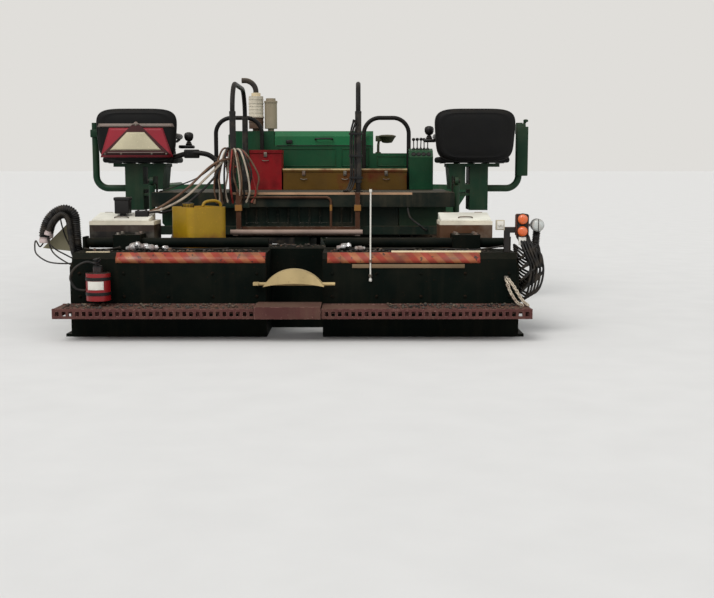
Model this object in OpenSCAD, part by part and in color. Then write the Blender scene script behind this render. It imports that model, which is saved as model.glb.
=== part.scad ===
// Tracked asphalt paver with an extending screed, seen from behind in the photograph.
// +Y is the direction of travel, +X is right as seen from behind, +Z is up.
// The origin is on the ground at the middle of the machine's bounding box.

/* [Tracks] */
// Clear width between the chassis and a track
track_gap = 60; // [50:2:64]
// Width of a track shoe
track_w = 300; // [260:10:310]
// Distance between the sprocket's and the idler's centres
track_base = 1980; // [1900:10:2020]
// Height of the middle of the sprocket above the ground
track_r = 320; // [300:5:330]
// Thickness of the chain under the shoes
chain_t = 35; // [28:1:40]
// Height of a shoe pad above the chain
pad_h = 35; // [25:1:40]
// Number of shoes on a track
shoe_n = 40; // [34:1:42]
// Radius of a track roller
roller_r = 80; // [70:1:86]

/* [Chassis] */
// Rear face of the chassis, from the machine's middle
chassis_rear = -1380; // [-1400:5:-1370]
// Front face of the chassis, where the hopper starts
chassis_front = 1270; // [1262:1:1276]
// Half the width of the chassis over its side plates
chassis_half = 790; // [770:5:800]
// Thickness of the chassis side plates
side_t = 30; // [16:1:34]
// Thickness of the walls between the side plates
wall_t = 20; // [10:1:24]
// Height of the underside of the chassis
chassis_z0 = 250; // [244:1:256]
// Height of the top of the chassis
chassis_z1 = 950; // [940:1:956]
// Height of the conveyor tunnels' roof
tunnel_z = 620; // [560:5:640]

/* [Deck and hood] */
// Half the width of the operator's deck
deck_half = 1250; // [1230:2:1254]
// Rear edge of the operator's deck
deck_rear = -1500; // [-1510:5:-1490]
// Height of the deck floor
deck_z = 1000; // [992:1:1010]
// Rear face of the engine housing
hood_rear = -50; // [-56:1:-40]
// Height of the hood's top
hood_z = 1550; // [1545:5:1600]
// Height of the edge that the hood lid closes on
hood_seat_z = 1410; // [1400:5:1430]
// Height of the low shoulder on the housing's right
shoulder_z = 1340; // [1290:5:1370]
// Thickness of the hood's sheet
sheet_t = 12; // [8:1:16]

/* [Rails] */
// Radius of the handrail tubes
rail_r = 20; // [14:1:22]
// Height of the two tall hoops
tall_hoop_z = 1920; // [1800:10:2000]
// Height of the two short hoops
short_hoop_z = 1690; // [1500:10:1800]

/* [Seats] */
// Distance of a seat's middle beyond the deck's edge, slid out
seat_out = 220; // [210:5:230]
// Width of a seat
seat_w = 735; // [640:5:750]
// Height of the seat pan's underside
seat_z = 1240; // [1230:1:1250]
// Height of the top of the back
seat_top = 1705; // [1680:5:1760]
// Distance that a seat slides inwards
seat_slide = 180; // [100:5:180]

/* [Hopper] */
// Front end of the hopper floor
hopper_front = 2800; // [2780:5:2805]
// Height of the wings' hinge pins
wing_pin_z = 350; // [340:1:356]
// Outermost edge of an open wing
wing_edge_x = 1700; // [1600:10:1740]
// Height of an open wing's edge
wing_edge_z = 1030; // [900:10:1050]
// Thickness of a wing's plate
wing_t = 12; // [8:1:16]
// Radius of a push roller
push_r = 85; // [70:1:90]

/* [Augers] */
// Radius of an auger's flight
auger_r = 170; // [140:1:175]
// Advance of the flight for one turn
auger_pitch = 300; // [240:10:340]
// Height of the auger shafts
auger_z = 330; // [310:5:350]
// Distance of the auger shafts from the machine's middle
auger_y = -1620; // [-1625:1:-1610]

/* [Screed] */
// Reach of the basic screed beyond each tow arm
screed_over = 78; // [70:2:88]
// Front face of the basic screed
screed_front = -1900; // [-1904:1:-1896]
// Rear face of the basic screed
screed_rear = -2330; // [-2336:1:-2324]
// Height of the screed bodies
screed_z = 600; // [580:2:604]
// Thickness of the sole plates
sole_t = 20; // [12:1:24]
// Half the gap between the extensions, as they stand
half_gap = 200; // [196:1:206]
// Front to rear depth of an extension box
ext_depth = 440; // [420:5:450]
// Depth of the footboards
board_d = 300; // [260:5:305]
// Height of the top of the footboards
board_z = 240; // [225:1:245]
// Height of the decks at the screed's ends
screed_deck_z = 800; // [780:2:820]

/* [Hidden] */
$fn = 40;

green = [0.08, 0.33, 0.20];
dark_green = [0.04, 0.15, 0.09];
black = [0.08, 0.08, 0.08];
steel = [0.45, 0.43, 0.42];
rust = [0.35, 0.22, 0.16];

// Clearances: a running pin, a seat that only just misses, and a moving piece
fit = 0.1;
seat_gap = 0.3;
gap = 5;

// Track stations
track_x0 = chassis_half + track_gap;
track_x1 = track_x0 + track_w;
belt_out = track_r - pad_h;
belt_in = belt_out - chain_t;
loop_step = 7.5;
wheel_r = belt_in * cos(loop_step / 2) - seat_gap;
sprocket_y = chassis_rear + 10 + track_r;
idler_y = sprocket_y + track_base;
track_side_t = 20;
track_in_z = track_r - belt_in;
axle_r = 22;
roller_gap = 5;

// Chassis stations
plate_in = chassis_half - side_t;
floor_t = 12;
floor_z = chassis_z0 + floor_t;
mid_rib = 50;
rail_z = 700;
tank_x0 = chassis_half + gap;
tank_x1 = deck_half - 60;
tow_y = 450;
tow_z = 480;
tow_pin_r = 30;
arm_x0 = deck_half + 12;
arm_t = 40;
tow_plate_x = arm_x0 - 12;

// Deck and hood stations
floor_sheet = 15;
hood_left = -chassis_half + 10;
canister_x = hood_left + 218;
cleaner_x = canister_x + 147;
cleaner_r = 62;
hood_split = cleaner_x + cleaner_r + 8;
hood_right = chassis_half - 190;
shoulder_x = chassis_half + 170;
skirt_z = deck_z - 120;
hood_front = chassis_front - 40;
lid_hinge_y = hood_front + 22;
lid_hinge_z = hood_seat_z + 25;
lid_x0 = hood_split + gap;
lid_x1 = hood_right;
lid_hinge_x = [-200, 440];
pin_r = 12;

// Seat slide bars run between the tank tops and the deck floor
bar_w = 60;
bar_x0 = chassis_half + seat_slide + 40;
bar_y = [-820, -560];
bar_z0 = chassis_z1 + gap + 1;
bar_z1 = deck_z - floor_sheet - gap;
stand_y0 = -860;
stand_y1 = -520;
seat_x = deck_half + seat_out;
post_x = deck_half + 190;
post_w = 160;

// Screed stations
ext_front = screed_rear - 20;
ext_rear = ext_front - ext_depth;
screed_half = arm_x0 + arm_t + screed_over;
ext_x1 = screed_half + 200;
gate_t = 20;
guide_r = 36;
guide_y = ext_front - 65;
guide_z = screed_z + 50;
block_x = [screed_half - 230, screed_half - 25];
lift_y = -1300;
lift_top_z = 1090;
lift_eye_z = 600;
eye_drift = 6.5;

// Box between two corners
module box(x, y, z) {
    translate([x[0], y[0], z[0]]) cube([x[1] - x[0], y[1] - y[0], z[1] - z[0]]);
}

// Round bar along X, Y or Z between two stations
module bar_x(x, y, z, r) {
    translate([x[0], y, z]) rotate([0, 90, 0]) cylinder(h = x[1] - x[0], r = r);
}
module bar_y(x, y, z, r) {
    translate([x, y[0], z]) rotate([-90, 0, 0]) cylinder(h = y[1] - y[0], r = r);
}
module bar_z(x, y, z, r) {
    translate([x, y, z[0]]) cylinder(h = z[1] - z[0], r = r);
}

// A drawing in the Y-Z plane carried along X, and one in the X-Z plane carried along Y
module along_x(x) {
    translate([x[0], 0, 0]) rotate([90, 0, 90]) linear_extrude(x[1] - x[0]) children();
}
module along_y(y) {
    translate([0, y[1], 0]) rotate([90, 0, 0]) linear_extrude(y[1] - y[0]) children();
}

module left() {
    mirror([1, 0, 0]) children();
}
module pair() {
    children();
    left() children();
}

// Rounded rectangle between two corners
module soft_rect(x, y, r) {
    hull() {
        for (cx = [x[0] + r, x[1] - r]) {
            for (cy = [y[0] + r, y[1] - r]) translate([cx, cy]) circle(r = r, $fn = 32);
        }
    }
}

flange_t = 10;
flange_rim = 18;

// Round tube hoop in the X-Z plane from x[0] to x[1], feet at z[0], top at z[1]
module hoop(x, z, y, bend) {
    for (fx = x) {
        bar_z(fx, y, [z[0], z[1] - bend - rail_r], rail_r);
        bar_z(fx, y, [z[0], z[0] + flange_t], rail_r + flange_rim);
    }
    bar_x([x[0] + bend, x[1] - bend], y, z[1] - rail_r, rail_r);
    for (s = [[x[0] + bend, 90], [x[1] - bend, 0]]) {
        translate([s[0], y, z[1] - rail_r - bend]) rotate([90, 0, 0])
            rotate_extrude(angle = 90, start = s[1]) translate([bend, 0]) circle(r = rail_r);
    }
}

// Outline that runs round both ends of a track or chain, r away from their centres
module loop_outline(y, z, r, step = loop_step) {
    polygon([
        for (a = [-90 : step : 90]) [y[1] + r * cos(a), z + r * sin(a)],
        for (a = [90 : step : 270]) [y[0] + r * cos(a), z + r * sin(a)]]);
}

// Place on a loop at distance s along it, as [y, z, angle], counted from the lower rear
function on_loop(y, z, r, s) =
    let (run = y[1] - y[0], turn = PI * r)
    s < run ? [y[0] + s, z - r, 0] :
    s < run + turn ?
        let (a = (s - run) / r * 180 / PI) [y[1] + r * sin(a), z - r * cos(a), a] :
    s < 2 * run + turn ? [y[1] - (s - run - turn), z + r, 180] :
        let (a = (s - 2 * run - turn) / r * 180 / PI)
            [y[0] - r * sin(a), z + r * cos(a), 180 + a];

function loop_length(y, r) = 2 * (y[1] - y[0]) + 2 * PI * r;

module track_right() {
    ends = [sprocket_y, idler_y];
    pitch = loop_length(ends, belt_out) / shoe_n;
    shoe = pitch * 0.78;
    color(black) along_x([track_x0, track_x1]) {
        difference() {
            union() {
                loop_outline(ends, track_r, belt_out);
                intersection() {
                    loop_outline(ends, track_r, track_r);
                    for (i = [0 : shoe_n - 1]) {
                        p = on_loop(ends, track_r, belt_out, (i + 0.5) * pitch);
                        translate([p[0], p[1]]) rotate(p[2])
                            translate([-shoe / 2, -pad_h - 8]) square([shoe, pad_h + 16]);
                    }
                }
            }
            loop_outline(ends, track_r, belt_in);
        }
    }
}

module track_left() {
    left() track_right();
}

// Track frames: a beam of two side plates and a top plate inside each loop
module track_frame() {
    x_in = track_x0 + 20;
    x_out = track_x1 - 20;
    plate = [[sprocket_y + 120, 230], [sprocket_y + 120, 400], [idler_y - 120, 400],
        [idler_y + 40, 360], [idler_y + 40, 280], [idler_y - 60, 150],
        [sprocket_y + 220, 150]];
    for (x = [[x_in, x_in + track_side_t], [x_out - track_side_t, x_out]]) {
        along_x(x) polygon(plate);
    }
    box([x_in + track_side_t, x_out - track_side_t],
        [sprocket_y + belt_in + 2 * gap, idler_y - 330], [360, 400]);
    for (y = [-600, 420]) {
        box([chassis_half, x_in], [y, y + 160], [260, 380]);
    }
    box([x_in - 20, x_in], [sprocket_y - 90, sprocket_y + 160], [260, 380]);
    box([chassis_half, x_in], [sprocket_y - 90, sprocket_y + 90], [240, 400]);
}

module track_frames() {
    color(dark_green) pair() track_frame();
}

// Sprocket with teeth, idler with its rim, road rollers below and carrier rollers above
module sprocket() {
    teeth = 16;
    tip = wheel_r;
    root = tip - 26;
    x0 = track_x0 + 90;
    along_x([x0, track_x1 - 90]) translate([sprocket_y, track_r]) {
        circle(r = root);
        for (i = [0 : teeth - 1]) rotate(i * 360 / teeth)
            polygon([[root - 10, -22], [tip, -10], [tip, 10], [root - 10, 22]]);
    }
    bar_x([track_x0 + 20, x0], sprocket_y, track_r, 110);
}

module track_wheel_set() {
    inner = [track_x0 + 20 + track_side_t, track_x1 - 20 - track_side_t];
    wide = [inner[0] + roller_gap, inner[1] - roller_gap];
    sprocket();
    bar_x(wide, idler_y, track_r, wheel_r);
    bar_x(inner, idler_y, track_r, axle_r);
    low_z = track_in_z + roller_r + seat_gap;
    first = sprocket_y + 340;
    step = (idler_y - 330 - first) / 4;
    for (i = [0 : 4]) {
        bar_x(wide, first + i * step, low_z, roller_r);
        bar_x(inner, first + i * step, low_z, axle_r);
    }
    for (y = [sprocket_y + 600, idler_y - 500]) {
        top_z = track_r + belt_in - 55 - seat_gap;
        bar_x(wide, y, top_z, 55);
        box([inner[0] + 60, inner[1] - 60], [y - 20, y + 20], [400, top_z]);
    }
}

module track_wheels() {
    color(steel) pair() track_wheel_set();
}

// Chassis of plates that meet with a hair's gap: side plates with the tow brackets, the floor,
// the roof with the end walls over the conveyor windows, and the rib between the tunnels
ends_y = [chassis_rear, chassis_front];
walls_y = [[ends_y[0], ends_y[0] + wall_t], [ends_y[1] - wall_t, ends_y[1]]];
window_x = plate_in - 60;
window_z = [floor_z + seat_gap, tunnel_z - seat_gap];
module chassis_side() {
    box([plate_in, chassis_half], ends_y, [chassis_z0, chassis_z1]);
    for (y = walls_y) box([window_x, plate_in], y, window_z);
    box([chassis_half, tow_plate_x], [tow_y - 70, tow_y + 70], [670, 760]);
    box([tow_plate_x - 60, tow_plate_x], [tow_y - 70, tow_y + 70], [380, 760]);
    bar_x([tow_plate_x, arm_x0 + arm_t + 15], tow_y, tow_z, tow_pin_r);
    rear_tie_down();
}

module chassis_frame() {
    inside = [seat_gap - plate_in, plate_in - seat_gap];
    color(dark_green) {
        pair() chassis_side();
        box(inside, ends_y, [chassis_z0, floor_z]);
        box(inside, ends_y, [tunnel_z, tunnel_z + floor_t]);
        for (y = walls_y) {
            box(inside, y, [tunnel_z, chassis_z1]);
            box([-mid_rib, mid_rib], y, window_z);
        }
        box([-8, 8], ends_y, window_z);
        pair() box(mount_x, [engine_y[0] - 20, engine_y[1] + 20], [tunnel_z + floor_t, rail_z]);
    }
}

// Engine: one block with its cover, standing on two rails
engine_half = 340;
engine_y = [80, 980];
engine_top = 1150;
cover_t = 120;
mount_x = [engine_half - 110, engine_half - 10];
module engine_block() {
    color(steel) {
        box([-engine_half, engine_half], engine_y, [rail_z, engine_top]);
        box([cover_t - engine_half, engine_half - cover_t],
            [engine_y[0] + 60, engine_y[1] - 60], [engine_top, engine_top + cover_t]);
    }
}

// Engine housing: a sheet shell over the chassis, open under the lid
module hood_outline(t) {
    inset = t;
    polygon([[hood_left + inset, chassis_z1 - (t > 0 ? 1 : 0)],
        [hood_left + inset, hood_z - 40 - inset * 0.4],
        [hood_left + 40 + inset * 0.4, hood_z - inset], [hood_split - inset, hood_z - inset],
        [hood_split - inset, hood_seat_z - inset], [hood_right - inset, hood_seat_z - inset],
        [hood_right - inset, shoulder_z - inset],
        [shoulder_x - 30 - inset * 0.4, shoulder_z - inset],
        [shoulder_x - inset, shoulder_z - 30 - inset * 0.4],
        [shoulder_x - inset, chassis_z1 - (t > 0 ? 1 : 0)]]);
}

module engine_housing() {
    slots = 9;
    color(green) difference() {
        union() {
            difference() {
                along_y([hood_rear, hood_front]) hood_outline(0);
                along_y([hood_rear + sheet_t, hood_front - sheet_t]) hood_outline(sheet_t);
                box([lid_x0 + 30, hood_right - 40], [hood_rear + 50, hood_front - 60],
                    [hood_seat_z - sheet_t - 1, hood_seat_z + 1]);
            }
            for (x = lid_hinge_x) {
                for (lug = [x - 60, x + 30]) along_x([lug, lug + 30]) polygon([
                    [hood_front, hood_seat_z - 60], [hood_front, hood_seat_z - 10],
                    [lid_hinge_y - 16, lid_hinge_z - 6], [lid_hinge_y - 12, lid_hinge_z + 14],
                    [lid_hinge_y + 12, lid_hinge_z + 14], [lid_hinge_y + 20, lid_hinge_z],
                    [lid_hinge_y + 20, hood_seat_z - 30]]);
                bar_x([x - 60, x + 60], lid_hinge_y, lid_hinge_z, pin_r);
            }
        }
        for (i = [0 : slots - 1]) {
            z = 1000 + i * 32;
            box([hood_left - 1, hood_left + sheet_t + 1], [150, 1050], [z, z + 14]);
            box([shoulder_x - sheet_t - 1, shoulder_x + 1], [150, 1050], [z, z + 14]);
        }
    }
}

// Hood lid: a shallow tray upside down, hinged at its front
module hood_lid() {
    y0 = hood_rear;
    y1 = hood_front - gap;
    color(green) {
        difference() {
            along_x([lid_x0, lid_x1]) polygon([[y0, hood_seat_z], [y0, hood_z - 50],
                [y0 + 40, hood_z], [y1 - 60, hood_z], [y1, hood_z - 60], [y1, hood_seat_z]]);
            along_x([lid_x0 + sheet_t, lid_x1 - sheet_t]) polygon([
                [y0 + sheet_t, hood_seat_z - 1], [y0 + sheet_t, hood_z - 55],
                [y0 + 45, hood_z - sheet_t], [y1 - 65, hood_z - sheet_t],
                [y1 - sheet_t, hood_z - 65], [y1 - sheet_t, hood_seat_z - 1]]);
        }
        for (x = lid_hinge_x) difference() {
            union() {
                bar_x([x - 30 + gap, x + 30 - gap], lid_hinge_y, lid_hinge_z, 20);
                box([x - 30 + gap, x + 30 - gap], [y1 - 1, lid_hinge_y],
                    [lid_hinge_z - 10, lid_hinge_z + 10]);
            }
            bar_x([x - 30, x + 30], lid_hinge_y, lid_hinge_z, pin_r + fit);
        }
    }
}

// Exhaust: a canister with a bent tail pipe, and the air cleaner beside it
canister_r = 72;
canister_top = 1908;
tail_r = 26;
tail_bend = 110;
cleaner_top = 1888;
stack_y = 480;
stack_foot = 40;
module exhaust_stack() {
    tail_z = canister_top + 45;
    foot = [hood_z, hood_z + stack_foot];
    color([0.75, 0.7, 0.6]) {
        bar_z(canister_x, stack_y, foot, canister_r / 2);
        bar_z(canister_x, stack_y, [foot[1], canister_top], canister_r);
        for (z = [foot[1] + 60, canister_top - 75]) {
            bar_z(canister_x, stack_y, [z, z + 14], canister_r + 3);
        }
        bar_z(canister_x, stack_y, [canister_top, tail_z], tail_r);
        translate([canister_x - tail_bend, stack_y, tail_z]) rotate([90, 0, 0])
            rotate_extrude(angle = 90, start = 0) translate([tail_bend, 0]) circle(r = tail_r);
        bar_x([canister_x - tail_bend - 30, canister_x - tail_bend], stack_y,
            tail_z + tail_bend, tail_r);
        bar_z(cleaner_x, stack_y, foot, cleaner_r / 2);
        bar_z(cleaner_x, stack_y, [foot[1], cleaner_top - 45], cleaner_r);
        bar_z(cleaner_x, stack_y, [cleaner_top - 45, cleaner_top - 25], cleaner_r + 4);
        bar_z(cleaner_x, stack_y, [cleaner_top - 25, cleaner_top], cleaner_r - 14);
    }
}

module operator_deck() {
    under = deck_z - floor_sheet;
    color(dark_green) {
        difference() {
            union() {
                box([-deck_half, deck_half], [deck_rear, hood_rear - 10], [under, deck_z]);
                box([-deck_half, deck_half], [deck_rear, deck_rear + 40], [skirt_z, under]);
                pair() box([deck_half - 40, deck_half], [deck_rear + 40, hood_rear - 10],
                    [skirt_z, under]);
                for (y = [-1340, -960, -260]) {
                    box([-deck_half + 40, deck_half - 40], [y, y + 60], [chassis_z1, under]);
                }
            }
            for (y = bar_y) pair() box([deck_half - 45, deck_half + 1],
                [y - bar_w / 2 - seat_gap, y + bar_w / 2 + seat_gap],
                [bar_z0 - seat_gap, bar_z1 + seat_gap]);
        }
        pair() {
            box([deck_half, arm_x0], [lift_y + 70, lift_y + 110], [skirt_z, lift_top_z + 40]);
            box([deck_half, arm_x0], [lift_y - 35, lift_y + 70],
                [lift_top_z - 25, lift_top_z + 40]);
            bar_x([arm_x0, arm_x0 + arm_t + 10], lift_y, lift_top_z, 16);
        }
    }
}

// Rear access frame: two sleeved posts, a pipe rail, a bent inner pipe, a grated step, and
// the grille on the rear wall behind them
post_xs = [-530, 450];
rear_rail_y = -1780;
rear_rail_z = 690;
grate_z = 664;
inner_pipe_x = 230;
inner_bend = 40;
module rear_steps() {
    y0 = rear_rail_y;
    half = 20;
    top = 960;
    sleeve = half + 8;
    color(rust) {
        for (x = post_xs) {
            box([x - half, x + half], [deck_rear - 2 * half, deck_rear], [660, deck_z]);
            box([x - half, x + half], [y0, deck_rear - 2 * half], [660, 700]);
            box([x - sleeve, x + sleeve], [deck_rear - 2 * half - 8, deck_rear], [850, 900]);
        }
        bar_x([post_xs[0] - 40, post_xs[1] + 40], y0, rear_rail_z, half);
        for (i = [0 : 5]) box([post_xs[0] + half, post_xs[1] - half],
            [y0 + 40 + i * 40, y0 + 50 + i * 40], [grate_z, rear_rail_z]);
        box([post_xs[0] + half, post_xs[1] - half], [y0 + 30, deck_rear - 10], [660, grate_z]);
        box([post_xs[0] + half, post_xs[1] - half], [deck_rear - 20, deck_rear - 10],
            [grate_z, 720]);
        bar_z(inner_pipe_x, deck_rear - 15, [grate_z, top - inner_bend], 10);
        translate([inner_pipe_x - inner_bend, deck_rear - 15, top - inner_bend])
            rotate([90, 0, 0]) rotate_extrude(angle = 90, start = 0)
                translate([inner_bend, 0]) circle(r = 10);
        bar_x([post_xs[0], inner_pipe_x - inner_bend], deck_rear - 15, top, 10);
    }
    color(dark_green) rear_grille();
}

grille_z = [735, 935];
grille_n = 11;
module rear_grille() {
    x = [post_xs[0] + 40, post_xs[1] - 40];
    y = [chassis_rear - 18, chassis_rear];
    step = (x[1] - x[0] - 14) / (grille_n - 1);
    for (i = [0 : grille_n - 1]) box([x[0] + i * step, x[0] + i * step + 14], y, grille_z);
    for (z = grille_z) box(x, [y[0] + 4, y[1]], [z - 14, z + 14]);
}

// Tall hoops beside the middle of the deck and short ones beside the hood
tall_hoop_x = [-580, 455];
tall_hoop_y = [-1440, -440];
short_hoops = [[-890, -455], [510, 935]];
module handrails() {
    color(black) {
        for (x = tall_hoop_x) translate([x, 0, 0]) rotate([0, 0, 90])
            hoop(tall_hoop_y, [deck_z, tall_hoop_z], 0, 230);
        for (x = short_hoops) hoop(x, [deck_z, short_hoop_z], hood_rear - 60, 150);
    }
}

// Operating console: an upright cabinet with a sloping top behind the hood
console_x = [930, 1150];
console_y = [-362, -152];
console_top = 1380;
module console() {
    color(green) along_x(console_x) polygon([[console_y[0], deck_z],
        [console_y[0], console_top - 80], [console_y[0] + 50, console_top - 20],
        [console_y[0] + 130, console_top], [console_y[1], console_top - 10],
        [console_y[1], deck_z]]);
}

// Red tool box on the left and a long ochre locker behind the hood, each with its lid
module deck_chest(x, y, top) {
    lid = 30;
    box(x, y, [deck_z, top - lid]);
    box([x[0] - 4, x[1] + 4], [y[0] - 6, y[1]], [top - lid, top]);
}

module deck_boxes() {
    color([0.5, 0.1, 0.1]) deck_chest([-546, -250], [-414, -150], 1365);
    color([0.45, 0.35, 0.12]) deck_chest([-238, 905], [-396, -160], 1195);
}

// Tanks and lockers over the tracks
module side_tanks() {
    color(green) pair() {
        for (y = [[chassis_rear + 20, tow_y - 80], [tow_y + 80, chassis_front - 10]]) {
            along_y(y) polygon([[tank_x0, 700], [tank_x0, chassis_z1], [tank_x1, chassis_z1],
                [tank_x1, 740], [tank_x1 - 40, 700]]);
        }
        box([chassis_half, tank_x0], [chassis_rear + 100, tow_y - 100], [720, 900]);
        box([chassis_half, tank_x0], [tow_y + 100, chassis_front - 100], [720, 900]);
    }
}

// Hopper floor between the wings, its side beams, hinge lugs and front cross member
module hopper_floor() {
    front = [hopper_front - 40, hopper_front];
    beam = hopper_side - 20;
    inside = [seat_gap - beam, beam - seat_gap];
    ridge_z = floor_z + seat_gap;
    color(dark_green) {
        difference() {
            box(inside, [chassis_front, hopper_front], [chassis_z0, floor_z]);
            pair() box([chain_x[0] - gap, chain_x[1] + gap], [chain_front_y, chain_front_y + 40],
                [chassis_z0 - 1, floor_z + 1]);
        }
        along_y([chassis_front, hopper_front]) polygon([[-mid_rib, ridge_z],
            [-14, ridge_z + 90], [14, ridge_z + 90], [mid_rib, ridge_z]]);
        box(inside, front, [190, chassis_z0]);
        box([-40, 40], [hopper_front, push_pin_y + 40], [200, 240]);
        bar_z(0, push_pin_y, [240, 330], push_pin_r);
        pair() {
            box([beam, hopper_side], [chassis_front, hopper_front],
                [chassis_z0, wing_pin_z + 10]);
            for (y = lug_y) box([hopper_side, wing_pin_x + 16], [y, y + 30],
                [wing_pin_z - 40, wing_pin_z + 16]);
            bar_y(wing_pin_x, [lug_y[0], lug_y[2] + 30], wing_pin_z, pin_r);
            tie_down(560, hopper_front, hopper_front + 60, 225, tie_eye_r);
        }
    }
}

// Tie-down lug with an eye: an upright plate from face y0 out to y1
module tie_down(x, y0, y1, z, eye_r) {
    difference() {
        box([x, x + tie_t], [min(y0, y1), max(y0, y1)], [z - 35, z + 35]);
        bar_x([x - 1, x + tie_t + 1], (y0 + y1) / 2, z, eye_r);
    }
}

// Tie-down lug that lies flat under the auger beam, with an upright eye
module rear_tie_down() {
    y = chassis_rear - 30;
    z = [tie_z - tie_t / 2, tie_z + tie_t / 2];
    difference() {
        union() {
            box([tie_x - tie_r, tie_x + tie_r], [y, chassis_rear], z);
            bar_z(tie_x, y, z, tie_r);
        }
        bar_z(tie_x, y, [tie_z - tie_t, tie_z + tie_t], tie_eye_r);
    }
}
tie_x = chassis_half - 60;
tie_r = 32;
tie_z = 340;
tie_eye_r = 20;
hopper_side = chassis_half - 70;
wing_pin_x = hopper_side + 40;
lug_y = [1330, 2040, hopper_front - 60];
tie_t = 30;
push_pin_y = hopper_front + 37;
push_pin_r = 20;
chain_x = [mid_rib + 30, window_x - 30];
chain_front_y = hopper_front - 90;

// Scraper chains and slats that run over the floor and back below it
module conveyors() {
    rise = 20;
    r_in = (floor_z - chassis_z0) / 2 + seat_gap;
    r_out = r_in + rise;
    mid_z = (floor_z + chassis_z0) / 2;
    ends = [chassis_rear - 30, chain_front_y];
    slat_n = 28;
    pitch = loop_length(ends, r_out) / slat_n;
    color(steel) for (side = [chain_x, [-chain_x[1], -chain_x[0]]]) {
        for (x = [[side[0], side[0] + 30], [side[1] - 30, side[1]]]) along_x(x) {
            difference() {
                loop_outline(ends, mid_z, r_out, 22.5);
                loop_outline(ends, mid_z, r_in, 22.5);
            }
        }
        for (i = [0 : slat_n - 1]) {
            p = on_loop(ends, mid_z, r_out, (i + 0.3) * pitch);
            if (p[2] == 0 || p[2] == 180) {
                z = p[2] == 0 ? p[1] : p[1] - rise;
                box([side[0] + 30, side[1] - 30], [p[0] - 15, p[0] + 15], [z, z + rise]);
            }
        }
    }
}

// Hopper wing: a bent plate that swings up about a pin along the machine
module wing_right() {
    a = [wing_pin_x + 24, wing_pin_z + 30];
    b = [1400, 580];
    c = [wing_edge_x - 12, wing_edge_z - 12];
    y0 = chassis_front + 35;
    y1 = hopper_front;
    color(green) {
        along_y([y0, y1]) polygon([a, b, c, [wing_edge_x, wing_edge_z],
            [b[0] + wing_t, b[1] - wing_t], [a[0] + 2, a[1] - wing_t]]);
        along_y([y0, y0 + wing_t]) polygon([a, [1000, wing_edge_z], c, b]);
        along_y([y1 - wing_t, y1]) polygon([a, [900, 560], [1420, 840], c, b]);
        for (y = [y0 + 450, 2420]) along_y([y, y + 14]) polygon([[a[0] + 2, a[1] - wing_t],
            [b[0], b[1] - 60], [b[0] + wing_t, b[1] - wing_t]]);
        for (y = [[1450, 1650], [2180, 2380], [2500, 2650]]) difference() {
            union() {
                bar_y(wing_pin_x, y, wing_pin_z, 24);
                box([wing_pin_x, wing_pin_x + 27], y, [wing_pin_z, wing_pin_z + 30]);
            }
            bar_y(wing_pin_x, [y[0] - 1, y[1] + 1], wing_pin_z, pin_r + fit);
        }
    }
}

module wing_left() {
    left() wing_right();
}

// Push beam that rocks about an upright pin and carries the two push rollers
roller_z = 480;
front_y = 3100;
push_y = front_y - push_r;
push_end = chassis_half - 30;
module push_beam() {
    beam_y = [push_pin_y + 38, push_y - push_r - 20];
    color(dark_green) {
        difference() {
            union() {
                box([-push_end, push_end], beam_y, [400, 560]);
                box([-60, 60], [push_pin_y - 25, beam_y[0]], [245, 320]);
                box([-60, 60], beam_y, [245, 400]);
            }
            bar_z(0, push_pin_y, [240, 330], push_pin_r + fit);
        }
        for (x = [-push_end, -10, push_end - 20]) {
            box([x, x + 20], [beam_y[1], push_y + 30], [roller_z - 40, roller_z + 40]);
        }
        for (x = [[-push_end + 20, -push_end + 45], [-35, -10], [10, 35],
            [push_end - 45, push_end - 20]]) bar_x(x, push_y, roller_z, 20);
    }
}

module push_roller_right() {
    color(steel) difference() {
        bar_x([10 + gap, push_end - 20 - gap], push_y, roller_z, push_r);
        for (x = [[10, 40], [push_end - 50, push_end - 20]]) {
            bar_x(x, push_y, roller_z, 20 + fit);
        }
    }
}

module push_roller_left() {
    left() push_roller_right();
}

// Auger drive: a cross beam on the rear wall, the middle gear case and the end bearings
auger_x = [65, deck_half - 30];
module auger_drive() {
    beam = [chassis_rear - 80, chassis_rear];
    stub = 25;
    color(dark_green) {
        box([5 - deck_half, deck_half - 5], beam, [650, 720]);
        box([-60, 60], [auger_y - 90, beam[0] + 25], [560, 650]);
        along_x([-60, 60]) {
            hull() {
                translate([auger_y, auger_z]) circle(r = 90);
                translate([auger_y, 600]) circle(r = 50);
            }
        }
        pair() {
            along_x([deck_half - 25, deck_half - 5]) polygon([[auger_y - 70, auger_z - 60],
                [auger_y + 70, auger_z - 60], [beam[1], 650], [beam[0], 650],
                [auger_y - 70, auger_z + 60]]);
            bar_x([60, 105], auger_y, auger_z, stub);
            bar_x([deck_half - 70, deck_half - 25], auger_y, auger_z, stub);
        }
    }
}

module auger_right() {
    flight = [auger_x[0] + 20, auger_x[1] - 20];
    span = flight[1] - flight[0];
    color(steel) difference() {
        union() {
            bar_x(auger_x, auger_y, auger_z, 45);
            translate([flight[0], auger_y, auger_z]) rotate([0, 90, 0])
                linear_extrude(height = span, twist = -360 * span / auger_pitch,
                    slices = ceil(span / auger_pitch * 20), segments = 4)
                    translate([38, -7]) square([auger_r - 38, 14]);
        }
        for (x = [[60, 110], [deck_half - 75, deck_half - 25]])
            bar_x(x, auger_y, auger_z, 25 + fit);
    }
}

module auger_left() {
    left() auger_right();
}

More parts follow.
